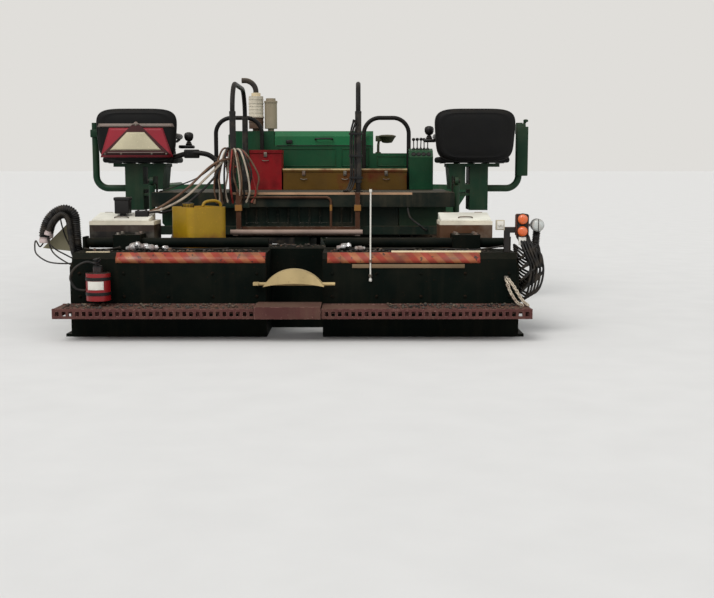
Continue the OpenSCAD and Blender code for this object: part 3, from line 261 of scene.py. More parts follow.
class Finish:
    """One material's node tree. All its patterns lie on Object coordinates, in metres."""

    def __init__(self, name, shine=0.5):
        self.name = name
        self.material = bpy.data.materials.new(name)
        self.material.use_nodes = True
        self.tree = self.material.node_tree
        self.tree.nodes.clear()
        self.place = self.add("TexCoord").outputs["Object"]
        self.dust = tuple(colours().dust)
        self.shader = self.add("BsdfPrincipled")
        self.shader.inputs["Specular IOR Level"].default_value = shine
        output = self.add("OutputMaterial")
        self.join(self.shader.outputs[0], output.inputs[0])

    def add(self, kind, **values):
        node = self.tree.nodes.new("ShaderNode" + kind)
        for key, value in values.items():
            setattr(node, key, value)
        return node

    def join(self, source, target):
        if isinstance(source, bpy.types.NodeSocket):
            self.tree.links.new(source, target)
        else:
            target.default_value = source

    def noise(self, scale, detail=4.0, stretch=(1, 1, 1), shift=0.0):
        """Cloudy noise from 0 to 1, finer as scale grows, drawn out along an axis by stretch."""
        mapping = self.add("Mapping")
        mapping.inputs["Scale"].default_value = stretch
        mapping.inputs["Location"].default_value = (shift, shift * 0.7, shift * 1.3)
        self.join(self.place, mapping.inputs["Vector"])
        cloud = self.add("TexNoise")
        cloud.inputs["Scale"].default_value = scale
        cloud.inputs["Detail"].default_value = detail
        self.join(mapping.outputs[0], cloud.inputs["Vector"])
        return cloud.outputs[0]

    def cells(self, scale, feature="F1"):
        """Distance to the nearest of scattered points, for grit and grain."""
        field = self.add("TexVoronoi", feature=feature)
        field.inputs["Scale"].default_value = scale
        self.join(self.place, field.inputs["Vector"])
        return field.outputs["Distance"]

    def span(self, value, low, high, start=0.0, end=1.0):
        """Value carried from low..high to start..end, and held there beyond."""
        node = self.add("MapRange")
        for index, source in enumerate((value, low, high, start, end)):
            self.join(source, node.inputs[index])
        return node.outputs[0]

    def maths(self, operation, result, *values):
        """The values joined to the first by an operation, or the first alone put through it."""
        for value in values or (0.0,):
            node = self.add("Math", operation=operation)
            self.join(result, node.inputs[0])
            self.join(value, node.inputs[1])
            result = node.outputs[0]
        return result

    def times(self, *values):
        return self.maths("MULTIPLY", *values)

    def plus(self, *values):
        return self.maths("ADD", *values)

    def most(self, *values):
        return self.maths("MAXIMUM", *values)

    def blend(self, share, first, second):
        """Colour that goes from the first to the second with share."""
        node = self.add("Mix", data_type="RGBA")
        self.join(share, node.inputs[0])
        for source, target in ((first, node.inputs[6]), (second, node.inputs[7])):
            self.join((*source, 1.0) if isinstance(source, (tuple, list)) else source, target)
        return node.outputs[2]

    def faded(self, base, dark, pale, scale, detail=5):
        """The colour darkened and lightened in clouds."""
        return self.blend(self.span(self.noise(scale, detail), 0.3, 0.7), dim(base, dark),
                          dim(base, pale))

    def axis(self, name):
        """The place along one axis, in metres."""
        split = self.add("SeparateXYZ")
        self.join(self.place, split.inputs[0])
        return split.outputs["XYZ".index(name)]

    def lean(self, name):
        """The surface direction's part along an axis: along Z it is 1 on a top face, 0 on a side."""
        split = self.add("SeparateXYZ")
        self.join(self.add("NewGeometry").outputs["Normal"], split.inputs[0])
        return split.outputs["XYZ".index(name)]

    def zone(self, limits):
        """1 inside the given stretches of the axes, such as {"X": (0, 1)}, and 0 outside."""
        tests = []
        for name, (low, high) in limits.items():
            place = self.axis(name)
            tests += [self.maths("GREATER_THAN", place, low), self.maths("LESS_THAN", place, high)]
        return self.times(*tests)

    def edges(self, radius):
        """Rounded normal near edges, and a value that is 1 on an edge and 0 on flat ground."""
        soft = self.add("Bevel", samples=3)
        soft.inputs["Radius"].default_value = radius
        same = self.add("VectorMath", operation="DOT_PRODUCT")
        self.join(soft.outputs[0], same.inputs[0])
        self.join(self.add("NewGeometry").outputs["Normal"], same.inputs[1])
        return soft.outputs[0], self.span(same.outputs["Value"], 0.995, 0.86)

    def relief(self, height, depth, strength, normal=None):
        """Normal bent as if the surface rose by the height's share of a depth in metres."""
        node = self.add("Bump")
        node.inputs["Strength"].default_value = strength
        node.inputs["Distance"].default_value = depth
        self.join(height, node.inputs["Height"])
        if normal is not None:
            self.join(normal, node.inputs["Normal"])
        return node.outputs[0]

    def close(self, base, roughness, normal=None, metallic=0.0, coat=0.0):
        """Joins the shader's main inputs and keeps the finish under its name."""
        sockets = self.shader.inputs
        self.join((*base, 1.0) if isinstance(base, (tuple, list)) else base, sockets["Base Color"])
        self.join(roughness, sockets["Roughness"])
        self.join(metallic, sockets["Metallic"])
        sockets["Coat Weight"].default_value = coat
        if normal is not None:
            self.join(normal, sockets["Normal"])
        MATERIALS[self.name] = self.material


def dim(shade, factor):
    """The colour darkened below a factor of 1 or lightened above it."""
    return tuple(min(1.0, c * factor) for c in shade)


def paint(name, base, rough=0.45, dusty=0.6, worn=0.6, bare=None, coat=0.0, patches=(), grit=0.0,
          edge=0.006, shine=0.3, stains=0.3, lining=0.0, studs=0.0):
    """Brushed or sprayed paint that has faded in clouds, with stains, dirt runs down its sides,
    dust on its upper faces, bare metal along its edges, and a slightly uneven skin. A lining of
    bitumen and rubbed steel covers the faces that look up, in and forward, and studs, where the
    product of two crossed sines is high, stand on the top faces."""
    f = Finish(name, shine)
    body = f.faded(base, 0.72, 1.22, 1.9)
    for shade, limits in patches:
        body = f.blend(f.zone(limits), body, f.faded(shade, 0.7, 1.2, 2.3))
    stain = f.span(f.noise(6, 9, shift=3), 0.5, 0.7, 0, stains)
    body = f.blend(stain, body, dim(base, 0.42))
    up = f.lean("Z")
    side = f.span(up, 0.1, 0.5, 1, 0)
    runs = f.span(f.noise(16, 5, (1, 1, 0.07), 7), 0.54, 0.74, 0, 0.6 * dusty)
    body = f.blend(f.times(runs, side), body, dim(f.dust, 0.45))
    film = f.span(f.noise(5, 8, shift=11), 0.42, 0.72, 0, 0.28 * dusty)
    body = f.blend(film, body, f.dust)
    settled = f.times(f.span(f.noise(2.4, 12), 0.28, 0.72, 0.4, 1), f.span(up, 0.35, 0.9),
                      f.span(f.noise(48, 8, shift=2), 0.32, 0.66, 0.5, 1), 0.85 * dusty)
    body = f.blend(settled, body, f.dust)
    if lining:
        inward = f.times(f.axis("X"), f.lean("X"))
        inside = f.most(f.span(inward, -0.1, -0.5), f.span(up, 0.15, 0.5),
                        f.span(f.lean("Y"), 0.4, 0.9))
        slide = f.noise(11, 9, (0.16, 1, 0.5), 31)
        level = f.span(f.plus(f.axis("Z"), f.span(slide, 0.3, 0.7, 0.2, -0.2)), 1.0, 0.62)
        tar = f.blend(f.span(f.noise(30, 12, (0.45, 1, 0.7), 5), 0.38, 0.75, 0, 0.5), tone(34, 31, 28),
                      tone(104, 92, 80))
        body = f.blend(f.times(inside, level, lining), body, tar)
    soft, rim = f.edges(edge)
    chips = f.most(f.times(rim, f.span(f.noise(42, 6, shift=5), 0.46, 0.58, 0, worn)),
                   f.span(f.noise(75, 5, shift=21), 0.69, 0.73, 0, worn * 0.8))
    body = f.blend(chips, body, bare or tuple(colours().rust))
    roughness = f.span(f.plus(stain, film, settled), 0, 1.2, rough, 0.95)
    skin = f.noise(150, 3)
    if grit:
        skin = f.plus(skin, f.times(f.cells(90), grit))
    dents = f.relief(f.noise(2.6, 2, shift=9), 0.012, 0.35, soft)
    normal = f.relief(f.maths("SUBTRACT", skin, chips), 0.0012, 0.5, dents)
    if studs:
        turns = [f.maths("SINE", f.times(f.maths(way, f.axis("X"), f.axis("Y")), 105.0))
                 for way in ("ADD", "SUBTRACT")]
        stud = f.times(f.span(f.times(*turns), 0.45, 0.8), f.span(up, 0.8, 0.95))
        body = f.blend(f.times(stud, f.span(f.noise(3, 5, shift=6), 0.35, 0.65, 0.1, studs)),
                       body, tone(120, 112, 100))
        normal = f.relief(stud, 0.003, 0.8, normal)
    f.close(body, roughness, normal, coat=coat)


def crusted(name, base, shine=0.35, cover=0.5, metallic=0.7):
    """Steel rubbed bright by the mix where it slides, and crusted with black bitumen elsewhere."""
    f = Finish(name)
    rust = tuple(colours().rust)
    clean = f.blend(f.span(f.noise(6, 6, (1, 0.2, 1)), 0.35, 0.7), dim(base, 0.6), base)
    red = f.span(f.noise(14, 7, shift=4), 0.48, 0.66, 0, 0.75)
    clean = f.blend(red, clean, rust)
    crust = f.span(f.noise(9, 8, shift=13), 0.62 - 0.2 * cover, 0.7 - 0.2 * cover)
    body = f.blend(crust, clean, tone(24, 22, 21))
    up = f.lean("Z")
    film = f.times(f.span(up, 0.2, 0.9, 0.1, 0.6), f.span(f.noise(8, 8), 0.4, 0.7))
    body = f.blend(film, body, f.dust)
    dull = f.most(crust, red, film)
    soft, rim = f.edges(0.005)
    body = f.blend(f.times(rim, 0.35), body, base)
    lump = f.times(f.cells(70), crust)
    normal = f.relief(f.plus(lump, f.noise(120, 4)), 0.004, 0.6, soft)
    f.close(body, f.span(dull, 0, 1, shine, 0.92), normal,
                   f.span(dull, 0, 1, metallic, 0.0))


def plastic(name, base, rough=0.5, grain=0.0006, dusty=0.4, clear=0.0, shine=0.35, foot=None):
    """Moulded plastic with a fine orange-peel grain, faded and scuffed, dusty on top, and with
    another shade from its foot up to a height that foot gives."""
    f = Finish(name, shine)
    body = f.faded(base, 0.8, 1.15, 3)
    scuff = f.span(f.noise(60, 4, (1, 0.15, 1), 6), 0.6, 0.72, 0, 0.35)
    body = f.blend(scuff, body, dim(base, 1.8))
    if foot:
        level, shade = foot
        climb = f.plus(f.axis("Z"), f.span(f.noise(9, 5, shift=4), 0.3, 0.7, -0.05, 0.05))
        body = f.blend(f.span(climb, level - 0.05, level + 0.03, 0.8, 0), body, shade)
    film = f.times(f.span(f.lean("Z"), 0.1, 0.9, 0.12, 1.0), f.span(f.noise(9, 8), 0.35, 0.7), dusty)
    body = f.blend(film, body, f.dust)
    soft, _ = f.edges(0.006)
    normal = f.relief(f.noise(320, 2), grain, 0.6, soft)
    f.shader.inputs["Subsurface Weight"].default_value = clear
    f.close(body, f.span(film, 0, 1, rough, 0.9), normal)


def striped(name, first, second, pitch, slope=1.0, rough=0.4):
    """Diagonal tape stripes: the first colour where X plus Z passes half of each pitch."""
    f = Finish(name)
    climb = f.plus(f.axis("X"), f.times(f.axis("Z"), slope))
    phase = f.maths("FRACT", f.plus(f.maths("DIVIDE", climb, pitch), 50.0))
    stripe = f.span(phase, 0.47, 0.53, 0.05, 0.85)
    body = f.blend(stripe, first, second)
    fade = f.span(f.noise(5, 6), 0.35, 0.68, 0, 0.75)
    body = f.blend(fade, body, dim(first, 0.75))
    grime = f.span(f.noise(14, 7, (0.5, 1, 1), 17), 0.45, 0.7, 0, 0.7)
    body = f.blend(grime, body, tone(84, 50, 34))
    torn = f.span(f.noise(26, 6, shift=8), 0.62, 0.65, 0, 0.9)
    body = f.blend(torn, body, tone(34, 26, 22))
    normal = f.relief(f.maths("SUBTRACT", f.noise(210, 3), torn), 0.0009, 0.6)
    f.close(body, f.span(fade, 0, 0.45, rough, 0.85), normal, coat=0.15)


def glass(name, base, painted_glow=0.0):
    """Moulded lamp lens with fine ribs under dust, and where asked a faint painted glow in its own colour.
    """
    f = Finish(name)
    ribs = f.maths("SINE", f.times(f.axis("X"), 900.0))
    body = f.blend(f.span(f.noise(20, 5), 0.4, 0.7, 0, 0.4), base, f.dust)
    normal = f.relief(f.plus(ribs, f.noise(60, 3)), 0.0008, 0.5)
    f.shader.inputs["Transmission Weight"].default_value = 0.15
    if painted_glow:
        f.shader.inputs["Emission Color"].default_value = (*base, 1)
        f.shader.inputs["Emission Strength"].default_value = painted_glow
    f.close(body, f.span(f.noise(40, 4), 0.3, 0.7, 0.12, 0.4), normal, coat=0.5)


def vinyl(name, base):
    """Seat vinyl: a pebbled grain in cells, creases, a sheen and dust in its folds."""
    f = Finish(name, 0.3)
    body = f.faded(base, 0.75, 1.35, 6, 6)
    film = f.times(f.span(f.lean("Z"), 0.0, 0.9, 0.06, 0.3), f.span(f.noise(34, 9), 0.3, 0.7))
    body = f.blend(film, body, f.dust)
    pebble = f.cells(420, "DISTANCE_TO_EDGE")
    crease = f.noise(22, 5, (1, 1, 2.5))
    normal = f.relief(pebble, 0.0009, 0.55, f.relief(crease, 0.004, 0.35))
    f.shader.inputs["Sheen Weight"].default_value = 0.15
    f.close(body, f.span(film, 0, 0.7, 0.5, 0.88), normal)


def ribbed(name, base, film=0.3):
    """Hose rubber with a woven cover and a film of dust."""
    f = Finish(name, 0.25)
    body = f.faded(base, 0.7, 1.25, 12, 6)
    film = f.span(f.noise(16, 8, shift=2), 0.45, 0.7, 0, film)
    body = f.blend(film, body, f.dust)
    weave = f.plus(f.noise(260, 3, (1, 1, 0.4)), f.cells(240))
    normal = f.relief(weave, 0.0009, 0.5)
    f.close(body, f.span(film, 0, 0.5, 0.5, 0.9), normal)


def make_finishes():
    """Every finish of the machine, made once and kept by name."""
    hue = {key: tuple(getattr(colours(), key)) for key in PaverColours.__annotations__}
    silver = hue["steel"]
    # Paints: colour, roughness, dust, wear and the bare metal under them
    paint("hood_green", hue["hood"], 0.42, 0.1, 0.4, shine=0.2, stains=0.4)
    # The lid is the hood's green painted lighter, as painted sunlight
    paint("lid_green", hue["lid"], 0.4, 0.08, 0.35, shine=0.25, coat=0.05)
    paint("stand_green", dim(hue["hood"], 0.5), 0.5, 0.15, 0.5, shine=0.22)
    paint("frame_green", dim(hue["frame"], 0.85), 0.55, 0.17, 0.5, shine=0.15)
    paint("deck_green", dim(hue["frame"], 0.5), 0.55, 0.26, 0.4, shine=0.15, grit=0.8, studs=0.75,
          patches=[(tone(182, 144, 112), {"X": (-0.58, 0.9), "Y": (-1.56, -1.49), "Z": (0.982, 1.02)})])
    paint("wing_green", hue["hood"], 0.45, 0.25, 0.7, lining=0.85)
    # Near-black finish of the screed: dark paint with painted shade darkened into it, and little shine
    paint("panel_green", hue["panel"], 0.6, 0.05, 0.22, shine=0.06)
    paint("rail_black", dim(hue["black"], 0.7), 0.45, 0.1, 0.4, silver, edge=0.002, shine=0.15)
    paint("rusty_pipe", dim(hue["rust"], 0.42), 0.75, 0.35, 0.9, silver, grit=0.8, shine=0.2, patches=[
        (tone(150, 104, 48), {"Z": (0.85, 0.9)}),
        (tone(156, 134, 122), {"Y": (-2, -1.764), "Z": (0.66, 0.715)}),
        (dim(hue["frame"], 0.6), {"Y": (-1.4, -1.379)})])
    paint("stack_cream", hue["cream"], 0.6, 0.5, 0.5, patches=[
        (tone(38, 32, 28), {"X": (-1, -0.486), "Z": (1.91, 2.2)}),
        (tone(74, 50, 36), {"X": (-1, -0.486), "Z": (1.4, 1.7)}),
        (hue["cleaner"], {"X": (-0.486, 0)})])
    paint("box_red", dim(hue["red"], 0.62), 0.45, 0.1, 0.6, shine=0.15, stains=0.75, patches=[
        (dim(hue["ochre"], 0.62), {"X": (-0.244, 2)}),
        # Pale band along the top of the ochre locker: a painted highlight where light falls on its rim
        (tone(206, 182, 136), {"X": (-0.244, 2), "Z": (1.182, 1.2)})])
    paint("tank_red", dim(hue["red"], 0.7), 0.3, 0.12, 0.4, coat=0.2,
          patches=[(hue["black"], {"Z": (0.468, 0.6)})])
    paint("deck_cream", hue["deck"], 0.6, 0.12, 0.5, patches=[
        (tone(40, 28, 22), {"Z": (0.5, 0.772), "X": (-2, 0)}),
        (tone(18, 15, 13), {"Z": (0.5, 0.722), "X": (-2, 0)}),
        (tone(76, 46, 22), {"Z": (0.5, 0.772), "X": (0, 2)})])
    paint("cover_white", tone(238, 232, 216), 0.5, 0.1, 0.5, tone(96, 70, 48))
    paint("plate_grey", tone(128, 122, 98), 0.7, 0.2, 0.8)
    paint("guard_tan", hue["tan"], 0.6, 0.3, 0.6)
    paint("rub_brown", tone(112, 92, 68), 0.7, 0.3, 0.8)
    paint("edge_pale", tone(222, 204, 168), 0.6, 0.2, 0.6)
    paint("fitting_olive", tone(58, 60, 40), 0.6, 0.2, 0.7)
    paint("board_steel", hue["board"], 0.75, 0.3, 0.9, tone(158, 118, 110), grit=1.2, shine=0.15)
    paint("box_orange", tone(74, 30, 20), 0.5, 0.2, 0.4, patches=[
        (hue["black"], {"Z": (0, 0.78), "X": (1.3, 1.579)}),
        (tone(206, 196, 172), {"X": (1.43, 1.501), "Z": (0.755, 0.84)}),
        (tone(120, 120, 118), {"X": (1.671, 1.9)})])
    # Steels and crumbs: colour, roughness, cover of bitumen and metallic share
    crusted("worn_steel", silver, 0.35, 0.35)
    crusted("crusted_steel", dim(silver, 0.7), 0.45, 0.85, 0.5)
    crusted("chrome", hue["chrome"], 0.14, -0.4, 1.0)
    crusted("bolt_steel", silver, 0.4, 0.2, 0.8)
    crusted("pale_chain", tone(205, 192, 172), 0.45, -0.2, 0.3)
    crusted("track_pad", dim(hue["rubber"], 1.2), 0.7, 0.3, 0.2)
    crusted("asphalt", tone(52, 48, 45), 0.7, 0.6, 0.0)
    # Plastics, vinyl, tape, hoses and lenses: colour and roughness or film of dust
    plastic("tank_yellow", hue["yellow"], 0.42, dusty=0.1, clear=0.08, foot=(0.69, tone(120, 72, 28)))
    plastic("shell_black", hue["seat"], 0.55, 0.0012, 0.03, shine=0.12)
    plastic("knob_black", hue["black"], 0.4, dusty=0.12, shine=0.25)
    plastic("label_white", tone(214, 210, 200), 0.4, dusty=0.4)
    plastic("sign_red", tone(138, 28, 42), 0.35, dusty=0.15)
    plastic("sign_dark", tone(58, 14, 18), 0.4, dusty=0.15)
    plastic("sign_grey", tone(126, 112, 104), 0.5, dusty=0.3)
    plastic("sign_pale", tone(196, 186, 156), 0.35, dusty=0.5)
    plastic("gland_grey", tone(186, 168, 164), 0.45, dusty=0.2)
    vinyl("pad_vinyl", hue["seat"])
    striped("hazard_tape", hue["tape_warm"], hue["tape_pale"], 0.115)
    ribbed("hose_brown", tone(92, 66, 50))
    ribbed("hose_black", dim(hue["rubber"], 0.7), 0.1)
    ribbed("hose_pale", hue["pale_hose"])
    ribbed("hose_red", tone(128, 34, 30))
    # The amber lens is given a faint painted glow of its own colour
    glass("lens_amber", hue["orange"], 0.12)
    glass("lens_clear", tone(196, 200, 196))


NODE_FINISH = {
    "hood_green": ["engine_housing", "console"],
    "wing_green": ["wing_left", "wing_right"],
    # The lid takes the lighter copy of the hood's green, painted sunlight
    "lid_green": ["hood_lid"],
    "stand_green": ["seat_stand_left", "seat_stand_right", "side_tanks", "tow_arms",
                    "lift_barrel_left", "lift_barrel_right"],
    "frame_green": ["chassis_frame", "track_frames", "hopper_floor", "push_beam", "auger_drive"],
    "deck_green": ["operator_deck"],
    # The screed's boxes, gates and the basic screed's front take the near-black finish, partly painted
    # shade
    "panel_green": ["basic_screed", "ext_box_left", "ext_box_right", "end_gate_left",
                    "end_gate_right"],
    "rail_black": ["handrails"],
    "rusty_pipe": ["rear_steps"],
    "stack_cream": ["exhaust_stack"],
    "box_red": ["deck_boxes"],
    "tank_red": ["extinguisher"],
    "deck_cream": ["screed_decks"],
    "guard_tan": ["centre_guard"],
    "board_steel": ["footboard_left", "footboard_right", "footboard_lap"],
    "box_orange": ["control_box"],
    "worn_steel": ["engine_block", "track_wheels", "push_roller_left", "push_roller_right"],
    "crusted_steel": ["conveyors", "auger_left", "auger_right"],
    "chrome": ["lift_rod_left", "lift_rod_right"],
    "track_pad": ["track_left", "track_right"],
    "tank_yellow": ["spray_tank"],
    "shell_black": ["seat_shell_left", "seat_shell_right"],
    "pad_vinyl": ["seat_pads_left", "seat_pads_right"],
}


def quads(rows, columns, closed=False):
    """Faces of a grid of points, rows by columns, with each row wrapped round where it is closed."""
    i, j = np.meshgrid(np.arange(rows - 1), np.arange(columns if closed else columns - 1),
                       indexing="ij")
    here, beside = i * columns + j, i * columns + (j + 1) % columns
    return np.stack([here, here + columns, beside + columns, beside], -1).reshape(-1, 4)


def fans(ring, centre, flip=False):
    """Triangles from a centre point to each pair of neighbours on a ring of point numbers."""
    after = np.roll(ring, -1)
    pair = (after, ring) if flip else (ring, after)
    return np.stack([*pair, np.full(len(ring), centre)], -1)


def rings(count, sides):
    """Faces of rings of points that follow each other, each end closed round a point after them."""
    last = count * sides
    return [quads(count, sides, closed=True)[:, ::-1], fans(np.arange(sides), last, True),
            fans(np.arange(last - sides, last), last + 1)]


def merged(shapes):
    """One shape from many: points stacked, and faces counted on from the points before them."""
    points, faces, start = [], [], 0
    for some_points, some_faces in shapes:
        points.append(some_points)
        faces.extend(group + start for group in some_faces)
        start += len(some_points)
    return np.concatenate(points), faces


def copies(shape, places, turn=None):
    """The shape at each place, turned first by one 3 x 3 matrix or by one for each place."""
    points, faces = shape
    places = np.asarray(places, float).reshape(-1, 3)
    turn = np.eye(3) if turn is None else np.asarray(turn, float)
    turned = np.einsum("kij,mj->kmi", np.broadcast_to(turn, (len(places), 3, 3)), points)
    steps = np.arange(len(places))[:, None, None] * len(points)
    return ((turned + places[:, None]).reshape(-1, 3),
            [(group[None] + steps).reshape(-1, group.shape[1]) for group in faces])


def facing(normal):
    """Matrix that turns a shape standing on +Z so that it stands along normal."""
    out = np.asarray(normal, float) / np.linalg.norm(normal)
    helper = np.array([0.0, 0.0, 1.0]) if abs(out[2]) < 0.9 else np.array([0.0, 1.0, 0.0])
    side = np.cross(helper, out)
    side /= np.linalg.norm(side)
    return np.stack([side, np.cross(out, side), out], 1)


def curve(points, count=48):
    """Smooth path through given points: each stretch is a cubic whose slope at a point is half
    the step between its neighbours. All stretches are worked out as one array."""
    held = np.asarray(points, float)
    held = np.vstack([2 * held[0] - held[1], held, 2 * held[-1] - held[-2]])
    place = np.linspace(0, len(points) - 1 - 1e-9, count)
    first = place.astype(int)
    t = (place - first)[:, None]
    a, b, c, d = (held[first + k] for k in range(4))
    return 0.5 * (2 * b + (c - a) * t + (2 * a - 5 * b + 4 * c - d) * t ** 2
                  + (3 * b - a - 3 * c + d) * t ** 3)


def tube(path, radius, sides=12):
    """Round tube: a circle carried along the path, square to it, and closed at both ends.
    radius is one number or one for each point of the path."""
    path = np.asarray(path, float)
    along = np.gradient(path, axis=0)
    along /= np.linalg.norm(along, axis=1, keepdims=True)
    helper = np.eye(3)[np.argmin(np.abs(along).max(0))]
    side = np.cross(along, helper)
    side /= np.linalg.norm(side, axis=1, keepdims=True)
    upper = np.cross(along, side)
    angle = np.linspace(0, FULL, sides, endpoint=False)
    thick = np.broadcast_to(np.asarray(radius, float), (len(path),))[:, None, None]
    ring = (side[:, None] * np.cos(angle)[None, :, None]
            + upper[:, None] * np.sin(angle)[None, :, None]) * thick
    points = np.vstack([(path[:, None] + ring).reshape(-1, 3), path[:1], path[-1:]])
    return points, rings(len(path), sides)


def lathe(profile, sides=24):
    """Turned shape about Z: the profile's radius and height carried round, poles closed."""
    profile = np.asarray(profile, float)
    angle = np.linspace(0, FULL, sides, endpoint=False)
    ring = np.stack([np.cos(angle), np.sin(angle)], -1)
    points = np.concatenate([profile[:, None, :1] * ring[None],
                             np.broadcast_to(profile[:, None, 1:], (len(profile), sides, 1))], -1)
    poles = np.array([[0, 0, profile[0, 1]], [0, 0, profile[-1, 1]]])
    return np.vstack([points.reshape(-1, 3), poles]), rings(len(profile), sides)


def slab(low, high, soft=0.004):
    """Block between two corners whose edges are rounded: the twelve edges of a cube grid, three
    cells a side, with the outer cells as wide as the rounding and their corners pulled in."""
    low, high = np.asarray(low, float), np.asarray(high, float)
    soft = min(soft, 0.49 * float((high - low).min()))
    u, v = np.divmod(np.arange(16), 4)
    faces, points = [], []
    for axis in range(3):
        for end in (0, 3):
            points.append(np.roll(np.stack([0 * u + end, u, v], -1), axis, 1))
            group = quads(4, 4) + 16 * len(faces)
            faces.append(group if end == 0 else group[:, ::-1])
    index = np.vstack(points)
    levels = np.stack([low, low + soft, high - soft, high])
    # A point that is outermost along two axes lies on an edge, and along three on a corner
    pull = np.choose(((index == 0) | (index == 3)).sum(1), (0, 0, EDGE_PULL, CORNER_PULL))
    inward = np.where(index == 0, soft, np.where(index == 3, -soft, 0))
    return (np.take_along_axis(levels, index, 0) + inward * pull[:, None],
            [np.vstack(faces)[:, ::-1]])


def hexagon(size):
    """Bolt head on its washer: turned profiles with six sides for the head, twelve for the
    washer, and a chamfered crown."""
    head = size * np.array([[0.575, 0.1], [0.575, 0.5], [0.47, 0.62]])
    washer = size * np.array([[0.92, -0.02], [0.92, 0.1], [0.5, 0.12]])
    return merged([lathe(head, 6), lathe(washer, 12)])


def in_metres(*profile):
    """Profile of a turned shape from its radius and height in turn, in millimetres."""
    return np.reshape(profile, (-1, 2)) / 1000


def turned(sides, places, way, *profile):
    """Turned shape standing at each place along way, or upright where way is None."""
    return copies(lathe(in_metres(*profile), sides), places, None if way is None else facing(way))


def about(turn):
    """Matrix for each angle of turn about +Z."""
    c, s, o = np.cos(turn), np.sin(turn), 0 * turn
    return np.stack([np.stack([c, -s, o], -1), np.stack([s, c, o], -1), np.stack([o, o, o + 1], -1)], 1)


def put(name, shape, finish, body, smooth=35.0, closed=True):
    """Object of a shape or a list of shapes, with its finish, riding on a body. A closed shape has
    its doubles merged and its faces turned outwards. An open sheet keeps the side of its grid."""
    points, faces = merged(shape) if isinstance(shape, list) else shape
    mesh = bpy.data.meshes.new(name)
    mesh.from_pydata(points.tolist(), [], [face for group in faces for face in group.tolist()])
    if closed:
        work = bmesh.new()
        work.from_mesh(mesh)
        bmesh.ops.remove_doubles(work, verts=work.verts, dist=1e-6)
        bmesh.ops.recalc_face_normals(work, faces=work.faces)
        work.to_mesh(mesh)
        work.free()
    mesh.update()
    mesh.shade_smooth()
    mesh.set_sharp_from_angle(angle=math.radians(smooth))
    mesh.materials.append(MATERIALS[finish])
    piece = bpy.data.objects.new(name, mesh)
    bpy.context.scene.collection.objects.link(piece)
    if body:
        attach(piece, body)
    return piece


def add_bolts(name, body, normal, places, finish="bolt_steel", share=1.0):
    """Bolts that stand along normal at each place, as a share of the usual size."""
    put(name, copies(hexagon(sizes().bolt * share), places, facing(normal)), finish, body, 30)


def thicken(piece, wall, side=1):
    """Gives an open sheet its wall: outside the sheet for side 1, and on both sides of it for 0."""
    coat = piece.modifiers.new("wall", "SOLIDIFY")
    coat.thickness = wall
    coat.offset = side


class PAVER_OT_finishes(bpy.types.Operator):
    """Makes the finishes and gives each node of the model its own"""
    bl_idname = "paver.finishes"
    bl_label = "Finishes"

    def execute(self, context):
        make_finishes()
        for finish, names in NODE_FINISH.items():
            for name in names:
                slots = frame["nodes"][name].data.materials
                slots.clear()
                slots.append(MATERIALS[finish])
        return {"FINISHED"}


class PAVER_OT_stage(bpy.types.Operator):
    """Pale floor, soft studio lights and the camera at the photograph's angle"""
    bl_idname = "paver.stage"
    bl_label = "Stage"

    def execute(self, context):
        scene, size, pale = context.scene, sizes(), tuple(colours().floor)
        scene.view_settings.view_transform = "Standard"
        camera = bpy.data.objects.new("camera", bpy.data.cameras.new("camera"))
        scene.collection.objects.link(camera)
        camera.data.sensor_width = SENSOR
        camera.data.lens = size.camera_focal / PHOTO_WIDE * SENSOR
        down = math.atan((PHOTO_HIGH / 2 - HORIZON_ROW) / size.camera_focal)
        camera.location = (size.camera_side, -size.camera_back, size.camera_height)
        camera.rotation_euler = (math.pi / 2 - down, 0, 0)
        camera.data.clip_end = 3 * FLOOR_REACH
        scene.camera = camera
        reach = np.array([[-1.0, -1, 0], [1, -1, 0], [1, 1, 0], [-1, 1, 0]]) * FLOOR_REACH
        f = Finish("floor")
        grain = f.span(f.noise(3, 6), 0.3, 0.7)
        f.close(f.blend(grain, dim(pale, 0.96), pale), 0.9, f.relief(f.noise(90, 4), 0.002, 0.2))
        put("floor", (reach, [np.array([[0, 1, 2, 3]])]), "floor", None, closed=False)
        world = bpy.data.worlds.new("studio")
        scene.world = world
        world.use_nodes = True
        tree = world.node_tree
        tree.nodes.clear()
        ray, seen, light, wall, mixed, output = (tree.nodes.new("ShaderNode" + kind) for kind in (
            "LightPath", "Math", "Background", "Background", "MixShader", "OutputWorld"))
        seen.operation = "MAXIMUM"
        light.inputs[0].default_value = AMBIENT
        light.inputs[1].default_value = AMBIENT_STRENGTH
        wall.inputs[0].default_value = (*pale, 1)
        wall.inputs[1].default_value = 1.0
        for source, target in (
                (ray.outputs["Is Camera Ray"], seen.inputs[0]),
                (ray.outputs["Is Glossy Ray"], seen.inputs[1]), (seen.outputs[0], mixed.inputs[0]),
                (light.outputs[0], mixed.inputs[1]), (wall.outputs[0], mixed.inputs[2]),
                (mixed.outputs[0], output.inputs[0])):
            tree.links.new(source, target)
        for name, tilt, around, power, wide in LAMPS:
            lamp = bpy.data.lights.new(name, "SUN")
            lamp.energy = power
            lamp.angle = math.radians(wide)
            holder = bpy.data.objects.new(name, lamp)
            holder.rotation_euler = (math.radians(tilt), 0, math.radians(around))
            scene.collection.objects.link(holder)
        return {"FINISHED"}


